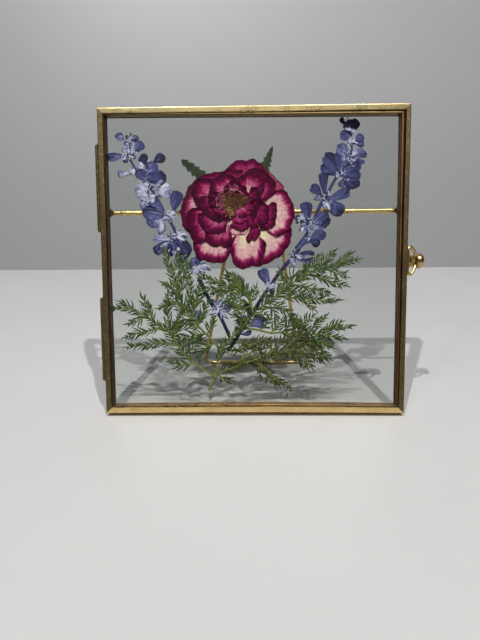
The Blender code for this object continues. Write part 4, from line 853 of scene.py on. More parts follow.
# Each sprig: its twigs, the main stem first.
SPRIGS = {
    "left_sprig": (
        (
            (-23.2, 11.3), (-21.9, 15.1), (-20.3, 18.0), (-26.3, 22.6), (-31.0, 25.8),
            (-34.6, 29.0), (-37.7, 32.7), (-40.8, 37.0), (-43.8, 41.7), (-48.0, 44.4),
            (-52.1, 47.6), (-55.7, 50.2), (-60.4, 52.3), (-65.6, 53.8), (-71.9, 54.5),
        ),
        ((-50.8, 46.8), (-53.1, 51.8), (-54.8, 55.4), (-56.0, 58.8)),
        ((-60.4, 52.3), (-63.5, 54.9), (-66.6, 56.4)),
        ((-47.7, 43.9), (-51.7, 42.8), (-55.4, 42.2), (-60.7, 40.7), (-64.4, 39.4)),
        ((-40.3, 34.9), (-44.0, 35.5), (-49.2, 35.9), (-55.6, 34.9), (-60.3, 34.7), (-63.6, 34.4)),
        ((-42.0, 39.6), (-43.3, 44.4), (-43.8, 49.1), (-44.0, 54.3), (-44.0, 59.3)),
        ((-55.2, 49.9), (-58.9, 47.6), (-62.7, 46.6)),
        ((-41.5, 38.3), (-39.6, 42.8), (-38.5, 47.5), (-37.1, 50.1)),
        ((-37.4, 32.5), (-34.5, 35.9), (-31.3, 37.5), (-27.6, 38.5)),
        ((-31.0, 25.5), (-34.7, 24.6), (-38.4, 24.5), (-40.5, 25.8), (-42.7, 27.0)),
        ((-42.8, 40.1), (-39.6, 44.3), (-36.4, 46.2), (-33.3, 46.9)),
        ((-35.1, 29.5), (-31.9, 33.2), (-27.7, 35.9)),
    ),
    "inner_left_sprig": (
        (
            (-17.2, 30.5), (-18.8, 34.3), (-21.9, 38.0), (-26.0, 42.2), (-29.6, 45.9),
            (-32.7, 50.1), (-35.7, 55.3), (-38.2, 60.5), (-39.7, 65.7), (-41.4, 71.4),
            (-43.4, 76.6), (-44.6, 82.2),
        ),
        ((-31.4, 48.2), (-30.5, 54.3), (-28.4, 57.4), (-25.8, 60.2)),
        ((-33.2, 50.9), (-37.3, 53.8), (-39.9, 56.4), (-46.7, 54.9)),
        ((-37.5, 59.0), (-39.8, 62.6), (-41.8, 65.0), (-44.4, 66.2)),
        ((-38.5, 61.1), (-36.1, 66.2), (-33.9, 71.4), (-32.8, 75.5)),
        ((-34.7, 53.8), (-32.5, 59.5), (-31.9, 64.6), (-32.4, 68.3)),
        ((-28.8, 45.1), (-25.9, 51.1), (-24.3, 54.7), (-23.2, 56.8)),
        ((-39.7, 65.7), (-37.0, 70.9), (-35.9, 75.0), (-34.8, 78.1)),
        ((-27.0, 43.2), (-31.7, 44.8), (-36.4, 45.4), (-41.7, 43.8)),
        ((-23.9, 40.1), (-22.3, 43.7), (-20.7, 46.9)),
        ((-33.2, 52.2), (-28.9, 59.4), (-27.2, 64.6)),
        ((-41.7, 71.9), (-39.0, 76.0), (-37.9, 79.6)),
        ((-35.7, 55.3), (-39.3, 57.4), (-41.9, 61.1)),
        ((-19.8, 35.8), (-24.0, 33.7), (-27.7, 31.1), (-28.3, 28.5)),
        ((-24.4, 40.6), (-29.2, 40.1), (-34.4, 39.1), (-38.1, 39.1)),
    ),
    "right_sprig": (
        ((-20.3, 18.0), (-18.9, 23.6), (-17.2, 30.5), (-14.6, 34.8), (-11.6, 38.4), (-8.2, 42.6)),
        (
            (-14.8, 34.5), (-11.6, 37.9), (-8.4, 41.6), (-4.2, 45.8), (-0.6, 51.0),
            (3.6, 54.1), (7.7, 57.2), (12.4, 60.8), (16.5, 64.9), (19.6, 66.4), (24.7, 68.9),
            (30.9, 71.9), (37.0, 73.2), (43.1, 75.5), (50.7, 77.4),
        ),
        ((24.7, 68.9), (26.8, 72.0), (29.3, 75.0), (32.1, 78.3)),
        ((30.9, 71.9), (34.4, 75.5), (37.0, 78.0), (39.5, 80.6)),
        ((37.0, 73.2), (41.1, 71.1), (45.0, 69.8)),
        ((28.8, 70.7), (32.9, 68.9), (38.1, 67.3), (45.0, 65.1)),
        ((41.6, 75.0), (45.1, 78.0), (47.9, 80.0)),
        ((19.6, 65.9), (24.8, 64.8), (29.9, 63.2), (37.4, 61.0)),
        ((12.4, 59.2), (17.6, 59.2), (23.8, 58.5), (31.0, 58.1), (35.1, 57.4), (41.5, 57.4)),
        ((21.7, 58.6), (25.8, 57.1), (29.5, 54.2)),
        ((7.7, 56.4), (12.4, 54.6), (16.5, 51.9), (20.7, 48.8), (24.1, 45.1)),
        ((7.7, 56.1), (9.8, 53.0), (11.3, 49.6)),
        ((17.5, 65.1), (14.4, 68.0), (13.4, 71.1)),
        ((18.6, 65.9), (18.6, 69.0), (21.6, 71.0), (23.7, 71.0)),
        ((21.7, 67.4), (24.7, 71.0), (25.7, 74.0)),
        ((5.7, 55.1), (5.9, 57.7), (6.5, 59.8)),
        ((-0.1, 51.0), (2.0, 50.7), (4.6, 50.5)),
        ((12.4, 60.5), (16.5, 62.3), (21.7, 62.3), (26.8, 60.2)),
        ((-2.7, 47.3), (-6.8, 47.9), (-9.9, 50.0)),
    ),
    "lower_right_sprig": (
        (
            (-4.0, 43.4), (2.5, 42.5), (8.8, 40.9), (14.5, 41.2), (21.8, 39.9), (29.6, 40.1),
            (36.3, 41.8), (42.5, 43.4), (48.4, 44.0),
        ),
        ((8.8, 40.9), (11.4, 44.4), (14.7, 47.3)),
        ((14.5, 41.2), (16.6, 43.6), (19.1, 47.2)),
        ((21.2, 40.4), (23.8, 43.6), (25.9, 46.7), (29.0, 49.0)),
        ((27.0, 40.7), (30.6, 44.0), (35.4, 48.3)),
        ((35.2, 41.9), (38.8, 44.0), (42.7, 45.7)),
        ((31.1, 40.1), (37.3, 39.4), (44.3, 38.1)),
        ((24.9, 39.4), (30.1, 35.7), (34.3, 32.0), (37.7, 29.2)),
        ((20.7, 39.6), (25.9, 37.0), (32.2, 34.1)),
        ((17.6, 40.2), (20.7, 42.5), (21.7, 46.7)),
        ((28.0, 38.3), (32.2, 37.2), (38.7, 34.3)),
        ((2.5, 42.5), (5.6, 44.2), (7.7, 47.3)),
    ),
    "bottom_sprig": (
        ((-20.3, 18.0), (-17.3, 20.4), (-13.6, 22.6), (-8.4, 23.6)),
        (
            (-14.9, 21.8), (-9.6, 23.5), (-4.4, 25.7), (0.9, 27.3), (7.2, 29.9), (14.0, 32.0),
            (18.7, 34.1), (22.8, 36.2), (27.0, 37.0),
        ),
        ((14.0, 32.0), (19.2, 32.5), (24.9, 32.0), (29.6, 29.9), (33.3, 27.1)),
        ((18.7, 34.1), (22.8, 31.5), (26.5, 27.8), (28.6, 24.6)),
        ((7.2, 29.9), (10.3, 33.1), (13.5, 36.8), (16.6, 38.3)),
        ((11.4, 31.2), (16.6, 30.4), (21.8, 28.3), (25.5, 24.1)),
        ((-18.4, 19.6), (-15.8, 17.8), (-13.1, 17.0)),
        ((0.9, 27.3), (5.1, 27.8), (10.3, 28.3), (14.5, 27.8)),
        ((21.8, 35.7), (27.0, 34.1), (32.2, 30.9), (35.4, 28.3)),
        ((16.6, 33.1), (19.7, 37.3), (23.8, 39.4), (25.9, 41.5)),
    ),
    "bottom_twig": (
        (
            (-8.6, 23.6), (-5.4, 28.4), (-2.8, 30.0), (0.9, 26.8), (3.5, 24.6), (7.2, 21.4),
            (10.3, 18.2), (14.0, 15.6), (17.9, 12.9),
        ),
        ((0.9, 26.8), (3.0, 23.1), (3.2, 19.9)),
        ((-7.9, 36.9), (-4.3, 35.8), (-0.6, 33.7), (2.5, 32.1)),
        ((-11.7, 31.6), (-7.5, 32.6), (-3.3, 34.2), (2.5, 36.8), (7.2, 37.3)),
        ((-4.3, 29.4), (-6.9, 32.1), (-11.7, 31.8)),
        ((7.2, 21.4), (7.7, 18.2), (10.8, 15.0)),
        ((-2.2, 30.0), (0.9, 33.1), (6.1, 34.2)),
    ),
    "upper_sprig": (
        ((-0.3, 51.5), (-1.8, 56.7), (-3.6, 60.3), (-6.7, 63.5), (-9.8, 66.1), (-12.9, 68.9)),
        ((-2.1, 57.2), (-3.6, 62.4), (-6.2, 67.6)),
        ((-3.9, 60.6), (-6.7, 65.0), (-8.8, 69.0)),
        ((-3.4, 60.1), (-8.3, 60.4), (-13.5, 57.3)),
        ((-1.8, 56.2), (-6.3, 56.7), (-9.9, 57.3), (-7.8, 52.1)),
        ((-1.6, 54.6), (-0.5, 59.3), (0.6, 63.4)),
        ((-6.7, 63.5), (-10.9, 63.5), (-14.5, 62.0)),
        ((-6.8, 62.2), (-10.1, 64.0), (-14.3, 65.6), (-18.4, 67.4), (-21.0, 67.7), (-25.6, 69.5)),
        ((-6.9, 61.4), (-12.2, 61.9), (-18.5, 61.5)),
        ((-14.3, 65.6), (-17.4, 63.5), (-23.1, 63.0)),
        ((-5.2, 62.4), (-9.3, 67.6), (-11.8, 70.7)),
        ((-1.6, 55.1), (-5.2, 53.1), (-8.9, 54.7)),
    ),
}


# ---------------------------------------------------------------- settings


def colour_setting(name, description, default):
    return FloatVectorProperty(
        name=name, description=description, default=default, subtype="COLOR", size=3, min=0, max=1
    )


def number_setting(name, description, default, unit="NONE"):
    return FloatProperty(name=name, description=description, default=default, min=0, unit=unit)


class FlowerFrameMetal(bpy.types.PropertyGroup):
    """The brass of the frame, clasp, hinges and stand."""

    # Painted light: gold, bright and the side rails' colours are copies of one brass. The top and
    # bottom rails' copies carry painted highlight, and the side rails' darker copy carries painted
    # shade.
    gold: colour_setting("Gold", "Clean brass on the top rails", (0.80, 0.63, 0.31))
    lit_top_dull: colour_setting("Dull gold", "Tarnish on the top rails", (0.50, 0.38, 0.19))
    bright: colour_setting("Bright", "Clean brass on the bottom rails", (0.98, 0.72, 0.33))
    lit_bottom_dull: colour_setting("Dull bright", "Tarnish on the bottom rails", (0.8, 0.56, 0.24))
    shaded_side: colour_setting("Bronze", "Brass of the side rails", (0.28, 0.215, 0.10))
    shaded_side_dull: colour_setting("Dull bronze", "Tarnish on the side rails", (0.12, 0.09, 0.045))
    polished: colour_setting("Polished", "Brass of the stand and the wire", (0.84, 0.62, 0.27))
    polished_dull: colour_setting("Dull polish", "Tarnish on them", (0.52, 0.36, 0.13))
    # Painted shade: the knob's colours are darker than the rest of the brass.
    knob: colour_setting("Knob", "Brass of the knob", (0.62, 0.44, 0.19))
    knob_shaded_dull: colour_setting("Dull knob", "Tarnish on the knob", (0.3, 0.2, 0.08))
    waviness: number_setting("Waviness", "Depth of the waves in the brass, millimetres", 0.12)


class FlowerFrameGlass(bpy.types.PropertyGroup):
    """The two clear panes."""

    tint: colour_setting("Tint", "Colour of light that has passed the glass", (0.91, 0.925, 0.92))
    dimming: colour_setting("Dimming", "Lamp light that each face lets by", (0.955, 0.958, 0.954))
    ior: number_setting("IOR", "How much the glass bends light", 1.5)


class FlowerFrameRose(bpy.types.PropertyGroup):
    """The pressed rose."""

    cream: colour_setting("Cream", "Petals at the root", (0.88, 0.75, 0.46))
    blush: colour_setting("Blush", "First change of colour", (0.72, 0.39, 0.42))
    pink: colour_setting("Pink", "Middle of the petals", (0.42, 0.048, 0.15))
    magenta: colour_setting("Magenta", "Towards the rim", (0.23, 0.006, 0.075))
    burgundy: colour_setting("Burgundy", "Near the rim", (0.105, 0.0012, 0.03))
    rim: colour_setting("Rim", "Dark line at the rim", (0.035, 0.0015, 0.013))
    thickness: number_setting("Thickness", "Thickness of a petal", 0.09 * MM, "LENGTH")
    ruffle: number_setting("Ruffle", "How far a rim waves in and out, millimetres", 0.42)


class FlowerFrameSpikes(bpy.types.PropertyGroup):
    """The two blue flower spikes."""

    white: colour_setting("White", "Palest parts", (0.74, 0.74, 0.82))
    lavender: colour_setting("Lavender", "Pale parts", (0.34, 0.355, 0.54))
    blue: colour_setting("Blue", "Middle tone", (0.1, 0.111, 0.27))
    violet: colour_setting("Violet", "Deeper tone", (0.052, 0.058, 0.165))
    navy: colour_setting("Navy", "Dark tone", (0.026, 0.028, 0.08))
    dark: colour_setting("Dark", "Darkest tone", (0.018, 0.012, 0.035))


class FlowerFrameSprigs(bpy.types.PropertyGroup):
    """The feathery green sprigs."""

    stem: colour_setting("Stem", "Stem colour", (0.20, 0.22, 0.06))
    leaf: colour_setting("Leaf", "Leaflet colour", (0.053, 0.1, 0.028))
    tip: colour_setting("Tip", "Dark leaflet tips", (0.02, 0.04, 0.012))
    dry: colour_setting("Dry", "Faded leaflets at the bottom", (0.075, 0.08, 0.026))
    leaflet: number_setting("Leaflet", "Leaflet length in millimetres", 4.9)
    spacing: number_setting("Spacing", "Leaflet spacing in millimetres", 1.25)
    width: number_setting("Width", "Leaflet width in millimetres", 1.0)


class FlowerFrameStage(bpy.types.PropertyGroup):
    """Floor, backdrop, lights and camera."""

    floor: colour_setting("Floor", "Colour of the floor", (0.525, 0.519, 0.51))
    wall: colour_setting("Wall", "Colour of the backdrop", (0.45, 0.45, 0.455))
    overhead: number_setting("Overhead lights", "Power of each, watts", 9.0)
    front: number_setting("Front light", "Its power in watts", 1.3)
    behind: number_setting("Wall light", "Its power in watts", 0.7)
    surround: number_setting("Surround", "Strength of the light all round", 0.6)


# ---------------------------------------------------------------- floor, lights and camera


CAMERA_PLACE = (-0.00511, -0.24334, 0.13586)
CAMERA_TURN_DEG = (68.7524, 0.7070, 1.0928)
LENS_MM = 27.06
FILM_HEIGHT_MM = 36


def build_stage(settings):
    """A pale floor that ends behind the frame, a grey backdrop, soft lights, the camera.

    The floor is a thin slab with a rounded far edge, and the backdrop stands well behind
    it, so the frame can be seen from behind as well.
    """
    front, back, half, edge, under = -1.6, 0.262, 1.5, 0.004, -0.02
    turn = np.linspace(0, math.pi / 2, 8)
    side = [(front, under), (front, 0.0)]
    side += [(back - edge + edge * math.sin(a), edge * (math.cos(a) - 1)) for a in turn]
    side.append((back, under))
    count = len(side)
    points = [[x, y, z] for x in (-half, half) for y, z in side]
    faces = [[i, (i + 1) % count, (i + 1) % count + count, i + count] for i in range(count)]
    faces += [list(range(count))[::-1], list(range(count, 2 * count))]
    floor = new_object("floor", points, faces)
    floor.data.materials.append(stage_material("floor", settings.floor, 0.07, 0.4, 9))
    far, low, high = 0.75, -0.9, 2.4
    points = [(-3, far, low), (3, far, low), (3, far, high), (-3, far, high)]
    wall = new_object("backdrop", points, [[0, 1, 2, 3]])
    wall.data.materials.append(stage_material("backdrop", settings.wall, 0.06, 0.8, 2.5))
    foot = (0, 0, 0.03)
    for name, spot, target, power, size in (
        ("left light", (-0.222, -0.36, 1.2), foot, settings.overhead, (0.017, 0.017)),
        ("right light", (0.225, -0.36, 1.2), foot, settings.overhead, (0.017, 0.017)),
        ("low left light", (-0.32, -0.36, 0.75), foot, settings.overhead * 0.05, (0.02, 0.02)),
        ("front light", (0, -0.75, 0.9), foot, settings.front, (0.9, 0.126)),
        ("wall light", (-0.15, 0.5, 0.6), (-0.15, 0.95, 0.385), settings.behind, (0.3, 0.3)),
    ):
        add_light(name, spot, target, power, size)
    build_world(settings.surround)
    camera = bpy.data.cameras.new("camera")
    camera.lens = LENS_MM
    camera.sensor_fit = "VERTICAL"
    camera.sensor_height = FILM_HEIGHT_MM
    camera.clip_start = 0.01
    tripod = bpy.data.objects.new("camera", camera)
    tripod.location = CAMERA_PLACE
    tripod.rotation_euler = [math.radians(a) for a in CAMERA_TURN_DEG]
    scene = bpy.context.scene
    scene.collection.objects.link(tripod)
    scene.camera = tripod
    scene.view_settings.view_transform = "Standard"


def add_light(name, spot, target, power, size):
    """A soft light of some width and height that faces a point."""
    lamp = bpy.data.lights.new(name, "AREA")
    lamp.energy = power
    lamp.shape = "RECTANGLE"
    lamp.size, lamp.size_y = size
    obj = bpy.data.objects.new(name, lamp)
    obj.location = spot
    aim = np.array(target, float) - np.array(spot, float)
    tilt = math.atan2(math.hypot(aim[0], aim[1]), -aim[2])
    obj.rotation_euler = (tilt, 0, math.atan2(aim[1], aim[0]) - math.pi / 2)
    obj.visible_camera = False
    bpy.context.scene.collection.objects.link(obj)


def build_world(strength):
    """A soft surround: dim above the horizon, paler overhead, a pale floor below it."""
    world = bpy.data.worlds.new("surround")
    world.use_nodes = True
    tree = world.node_tree
    way = node(tree, "ShaderNodeTexCoord").outputs["Generated"]
    height = node(tree, "ShaderNodeSeparateXYZ", {0: way}).outputs["Z"]
    stops = [
        (0.0, (0.9, 0.88, 0.86)), (0.1, (0.8, 0.78, 0.76)), (0.145, (0.012, 0.011, 0.01)),
        (0.45, (0.02, 0.019, 0.018)), (1.0, (0.08, 0.08, 0.08)),
    ]
    shade = ramp(tree, ranged(tree, height, -0.1, 0.8), stops)
    feed(tree, tree.nodes["Background"], Color=shade, Strength=strength)
    bpy.context.scene.world = world


# ---------------------------------------------------------------- brass and glass


# The rails: quarter turns from the bottom, width of the face at both ends, reach of the
# inner lip at one end, midway and at the other, how far the rail bows inward, and how far
# its outer edge sits back, all in millimetres.
RAILS = (
    ("bottom", 0, (3.15, 3.15), (3.65, 3.95, 3.75), 0.45, 0.4),
    ("right", 1, (2.7, 2.15), (3.6, 3.8, 4.2), 0.0, 0.0),
    ("top", 2, (2.95, 2.8), (4.2, 3.7, 3.2), 0.0, 0.0),
    ("left", 3, (2.7, 2.75), (3.25, 3.2, 3.4), 0.0, 0.0),
)


def channel_part(quarter, faces, reaches, bow, slant, behind):
    """One mitred rail: its section run straight along one side of the square.

    The section is (distance in from the outer side, depth): a rounded face, a small step
    down to the lip that holds the pane, the slot for the pane, and a thick folded hem
    behind it. At share t of the rail a section point lies at t times its own distance
    from the frame's middle, so both ends are cut at 45 degrees. The face's and lip's
    widths change along the rail, and two slow sines make it a little uneven. The mark
    lip is 0 on the face, 1 on the lip and 2 in the seam between them; above 1 it paints
    shade, darkest in the seam, less on the hem and slot walls behind the pane and on
    narrow lips.
    """
    lip_front, seam_floor, pane_front, pane_back, hem_back = 0.34, 0.57, 0.59, 2.2, 3.85
    corner = np.radians(np.linspace(0, 90, 6))
    t = np.linspace(-1, 1, 49)[:, None]
    half = (t + 1) / 2
    face = faces[0] + (faces[1] - faces[0]) * half
    reach = reaches[0] + (reaches[2] - reaches[0]) * half
    reach = reach + (reaches[1] - (reaches[0] + reaches[2]) / 2) * (1 - t**2)
    wave = 0.03 * np.sin(5.1 * t + quarter) + 0.02 * np.sin(13.7 * t + 2 * quarter)
    face, reach = face + wave, reach + wave
    gap = reach - face
    outer = [(0.4 - 0.4 * math.cos(a), 0.4 - 0.4 * math.sin(a), 0) for a in corner[::-1]]
    outer += [(0.5 - 0.5 * math.cos(a), 3.35 + 0.5 * math.sin(a), 0) for a in corner]
    # Tones above 1 on the hem, slot and seam are painted shade in those recesses.
    hem = [(reach - 0.25, hem_back, 1), (reach - 0.06, 3.79, 1.3), (reach, 3.6, 1.6)]
    hem += [(reach, 2.4, 1.6), (reach - 0.15, pane_back, 1.35)]
    slot = [(0.5, pane_back, 1.35), (0.5, pane_front, 1)]
    lip = [(reach - 0.03, pane_front, 1), (reach, 0.55, 1), (reach - 0.03 * gap, 0.42, 1)]
    lip += [(reach - 0.12 * gap, lip_front, 1), (face + 0.58 * gap, lip_front, 1)]
    seam = [(face + 0.52 * gap, 0.4, 1.5), (face + 0.48 * gap, seam_floor, 2)]
    seam += [(face, seam_floor, 2), (face, 0.4, 2), (face, 0.2, 1.3)]
    front = [(face - 0.06, 0.06, 0), (face - 0.2, 0.0, 0), (face - 0.4, 0.0, 0), (0.6, 0.0, 0)]
    section = outer + hem + slot + lip + seam + front
    inward, depth, tone = zip(*section)
    inward = np.concatenate([np.broadcast_to(d, t.shape) for d in inward], axis=1)
    depth, tone = np.array(depth) + wave * 0.5, np.array(tone, float)
    depth = depth + slant * np.clip(1 - inward / face, 0, 1) * (depth < 1.5)
    # Painted shade: a narrow lip is darkened towards the seam's near black.
    tone = tone + (tone == 1) * (inward > face + 0.1 * gap) * np.clip(1.0 - 1.2 * gap, 0, 0.8)
    if behind:
        depth = FRAME_DEPTH - depth
    inward = inward + bow * (1 - t**2)
    along, down = t * (HALF_SIDE - inward + bow * (1 - t**2)), inward - HALF_SIDE
    turn = quarter * math.pi / 2
    x = along * math.cos(turn) - down * math.sin(turn)
    z = HALF_SIDE + along * math.sin(turn) + down * math.cos(turn)
    grid = np.stack([x, depth, z], axis=-1)
    rows, columns, _ = grid.shape
    row, column = np.meshgrid(np.arange(rows - 1), np.arange(columns), indexing="ij")
    here, beside = row * columns + column, row * columns + (column + 1) % columns
    quads = np.stack([here, here + columns, beside + columns, beside], -1).reshape(-1, 4)
    ends = np.stack([np.arange(columns), (rows - 1) * columns + np.arange(columns)[::-1]])
    if behind:
        quads, ends = quads[:, ::-1], ends[:, ::-1]
    return grid.reshape(-1, 3), [quads, ends], {"lip": tone.ravel()}


def build_brass(settings):
    """Finishes for the brass, on the rails, hinges and lugs of the CAD model."""
    build_worn_brass_group()
    wave, gold_lip = settings.waviness, (0.72, 0.46, 0.18)
    # The rails take copies of one brass, lit and shaded by paint: painted highlight on the top and
    # bottom rails, painted shade on the side rails.
    gold = brass("lit top brass", settings.gold, settings.lit_top_dull, 0.45, 0.2, wave, 0.3, gold_lip)
    bright = brass(
        "bright brass", settings.bright, settings.lit_bottom_dull, 0.25, 0.2, wave, 0.2, gold_lip
    )
    shaded_side = brass(
        "bronze brass", settings.shaded_side, settings.shaded_side_dull, 0.8, 0.3, wave, 0.7,
        (0.28, 0.13, 0.05),
    )
    brass("polished brass", settings.polished, settings.polished_dull, 0.3, 0.14, wave / 2)
    # The knob's brass is a darker copy, with painted shade.
    brass("shaded knob brass", settings.knob, settings.knob_shaded_dull, 0.5, 0.12, wave / 2)
    skins = {"bottom": bright, "right": shaded_side, "top": gold, "left": shaded_side}
    for half, body in (("back", "back_frame"), ("door", "door")):
        for name, *numbers in RAILS:
            obj = add_piece(
                f"{half}_{name}_channel", [channel_part(*numbers, half == "back")], skins[name],
                body, [f"{half}_{name}_rail"],
            )
            obj.data.set_sharp_from_angle(angle=math.radians(32))
    # The hinges and lugs take the side rails' copy, with its painted shade.
    for spot in ("upper", "lower"):
        for part in ("back_knuckle", "door_knuckle", "pin"):
            dress(shaded_side, f"{spot}_hinge_{part}")
    dress(shaded_side, "stand_left_lug", "stand_right_lug")


def build_panes(settings):
    """Glass for the two panes of the CAD model."""
    dress(clear_glass(settings), "door_glass", "back_glass")


def build_clasp():
    """A turned knob on the frame's side, and the door's sprung wire that grips its neck.

    The knob is its outline carried round. The wire is a tube along a smooth curve, the
    lower half the upper one's mirror image.
    """
    knob_base, wire_radius, steps = (76.06, 6.0, 77.0), 0.76, 90
    outline = [
        (0, 0), (3.3, 0), (3.6, 0.4), (3.65, 1.4), (3.4, 2.4), (2.7, 3.1), (1.6, 3.5), (0.8, 3.65),
        (0.8, 5.0), (1.0, 5.1), (2.2, 5.25), (3.1, 5.6), (3.65, 6.4), (3.8, 7.4), (3.55, 8.4),
        (2.75, 9.2), (1.4, 9.6), (0, 9.65),
    ]
    knob = turned(outline, knob_base, (1, 0, 0), (0, 0, 1), 48, own=0.0)
    # The knob's brass carries painted shade.
    skin = bpy.data.materials["shaded knob brass"]
    add_piece("clasp_knob_turned", [knob], skin, "back_frame", ["clasp_knob"])
    upper = np.array([
        (76.71, 2, 3.375), (76.71, 2, 5.87), (78.2, 2.6, 6.8), (80.2, 3.5, 4.7), (81.2, 4.6, 2.4),
        (80.8, 6, 1.75), (80.7, 7.2, 1.57), (80.7, 8.9, 2.47),
    ])
    lower = upper * [1, 1, -1]
    path = np.vstack([lower[::-1], [[76.71, 2, 0]], upper]) + [0, 0, knob_base[2]]
    path = smooth_path(path, steps)
    grip = swept(path, wire_radius, wire_radius, (1, -0.6, 0), 16, own=1.0)
    skin = bpy.data.materials["polished brass"]
    add_piece("clasp_grip_wire", [grip], skin, "door", ["clasp_grip"])


def rod_part(middle):
    """The cross rod: its outline carried round, with a bead of solder near its left end.

    Two sine waves round the rod make the bead lumpy. They fade away from it by a bell
    curve.
    """
    neck, rod, bead, spread = 0.75, 1.25, -65.2, 1.6
    outline = [(0, -74.6), (0.6, -74.6), (neck, -74.4), (neck, -71.8), (1.05, -71.7)]
    outline += [(rod, x) for x in (-71.4, -69.5, -67.6)]
    outline += [(1.3, -67.0), (1.62, -66.5), (1.5, -65.9), (1.22, -65.4), (1.6, -64.8)]
    outline += [(1.55, -64.1), (1.27, -63.6), (rod, -63.0)]
    outline += [(rod, x) for x in (*np.linspace(-60, 69, 20), 71.4)]
    outline += [(1.05, 71.7), (neck, 71.8), (neck, 74.4), (0.6, 74.6), (0, 74.6)]
    points, faces, marks = turned(outline, (0, *middle), (1, 0, 0), (0, 1, 0), 36, own=2.0)
    near = np.exp(-(((points[:, 0] - bead) / spread) ** 2))
    angle = np.arctan2(points[:, 2] - middle[1], points[:, 1] - middle[0])
    lumps = 0.05 * np.sin(2 * angle + 0.8) + 0.05 * np.sin(3 * angle + points[:, 0] * 3.1)
    points[:, 1:] = middle + (points[:, 1:] - middle) * (1 + near * lumps)[:, None]
    return points, faces, marks


def leg_part(middle, swing):
    """The wire leg: a tube along two splayed legs and a foot bar with round corners.

    It hangs down from the rod and is turned back by the angle that it stands at. A corner
    is the curve between two points whose middle is drawn towards the bend.
    """
    length, corner, rod_side, wire_radius = 100.0, 3.5, -1.55, 1.05
    halves = []
    for top, foot, side in ((-10.3, -30.5, 1), (12.4, 28.5, -1)):
        bend = np.array([foot, -length])
        way = bend - [top, rod_side]
        way /= np.linalg.norm(way)
        share = np.linspace(0, 1, 9)[:, None]
        a, b = bend - way * corner, bend + np.array([side * corner, 0])
        arc = a * (1 - share) ** 2 + 2 * bend * share * (1 - share) + b * share**2
        halves.append(np.vstack([np.linspace((top, rod_side), a, 40, endpoint=False), arc]))
    bar = np.linspace(halves[0][-1], halves[1][-1], 26)[1:-1]
    across, up = np.vstack([halves[0], bar, halves[1][::-1]]).T
    sin, cos = math.sin(swing), math.cos(swing)
    path = np.stack([across, middle[0] - up * sin, middle[1] + up * cos], axis=1)
    return swept(path, wire_radius, wire_radius, (0, cos, sin), 20, own=3.0)


def build_stand():
    """The cross rod and the bent wire leg, which turn together."""
    middle = (9.31, 102.4)
    swing = math.radians(STAND_HINGE["range_deg"][1])
    skin = bpy.data.materials["polished brass"]
    for name, part, replaced in (
        ("stand_rod_turned", rod_part(middle), "stand_rod"),
        ("stand_leg_wire", leg_part(middle, swing), "stand_leg"),
    ):
        add_piece(name, [part], skin, "stand", [replaced])


# ---------------------------------------------------------------- the rose


# The depth that petals are laid forward from, and the middle of the stamens as (x, z).
REARMOST = 4.85
ROSE_MIDDLE = np.array([-9.7, 107.4])


class PetalBed:
    """The height of everything laid down so far, on a grid over the rose."""

    corner, cell = (-44.0, 66.0), 0.25

    def __init__(self):
        self.height = np.zeros((290, 300))

    def index(self, flat):
        """Row and column on the grid, as fractions, of flat points."""
        column, row = ((flat[..., i] - self.corner[i]) / self.cell for i in (0, 1))
        rows, columns = self.height.shape
        return np.clip(row, 0, rows - 1.01), np.clip(column, 0, columns - 1.01)

    def under(self, flat, soften=5):
        """Height under points: what lies there, bridged softly where it steps."""
        soft = self.height
        for _ in range(soften):
            wide = np.pad(soft, 1, mode="edge")
            around = wide[:-2, 1:-1] + wide[2:, 1:-1] + wide[1:-1, :-2] + wide[1:-1, 2:]
            soft = np.maximum(self.height, (around + wide[1:-1, 1:-1]) / 5)
        row, column = self.index(flat)
        i, j = row.astype(int), column.astype(int)
        down, right = row - i, column - j
        top = soft[i, j] * (1 - right) + soft[i, j + 1] * right
        bottom = soft[i + 1, j] * (1 - right) + soft[i + 1, j + 1] * right
        return top * (1 - down) + bottom * down

    def lay(self, flat, height):
        """Raises the grid to the height of what has just been laid at points."""
        row, column = self.index(flat)
        np.maximum.at(self.height, (np.rint(row).astype(int), np.rint(column).astype(int)), height)


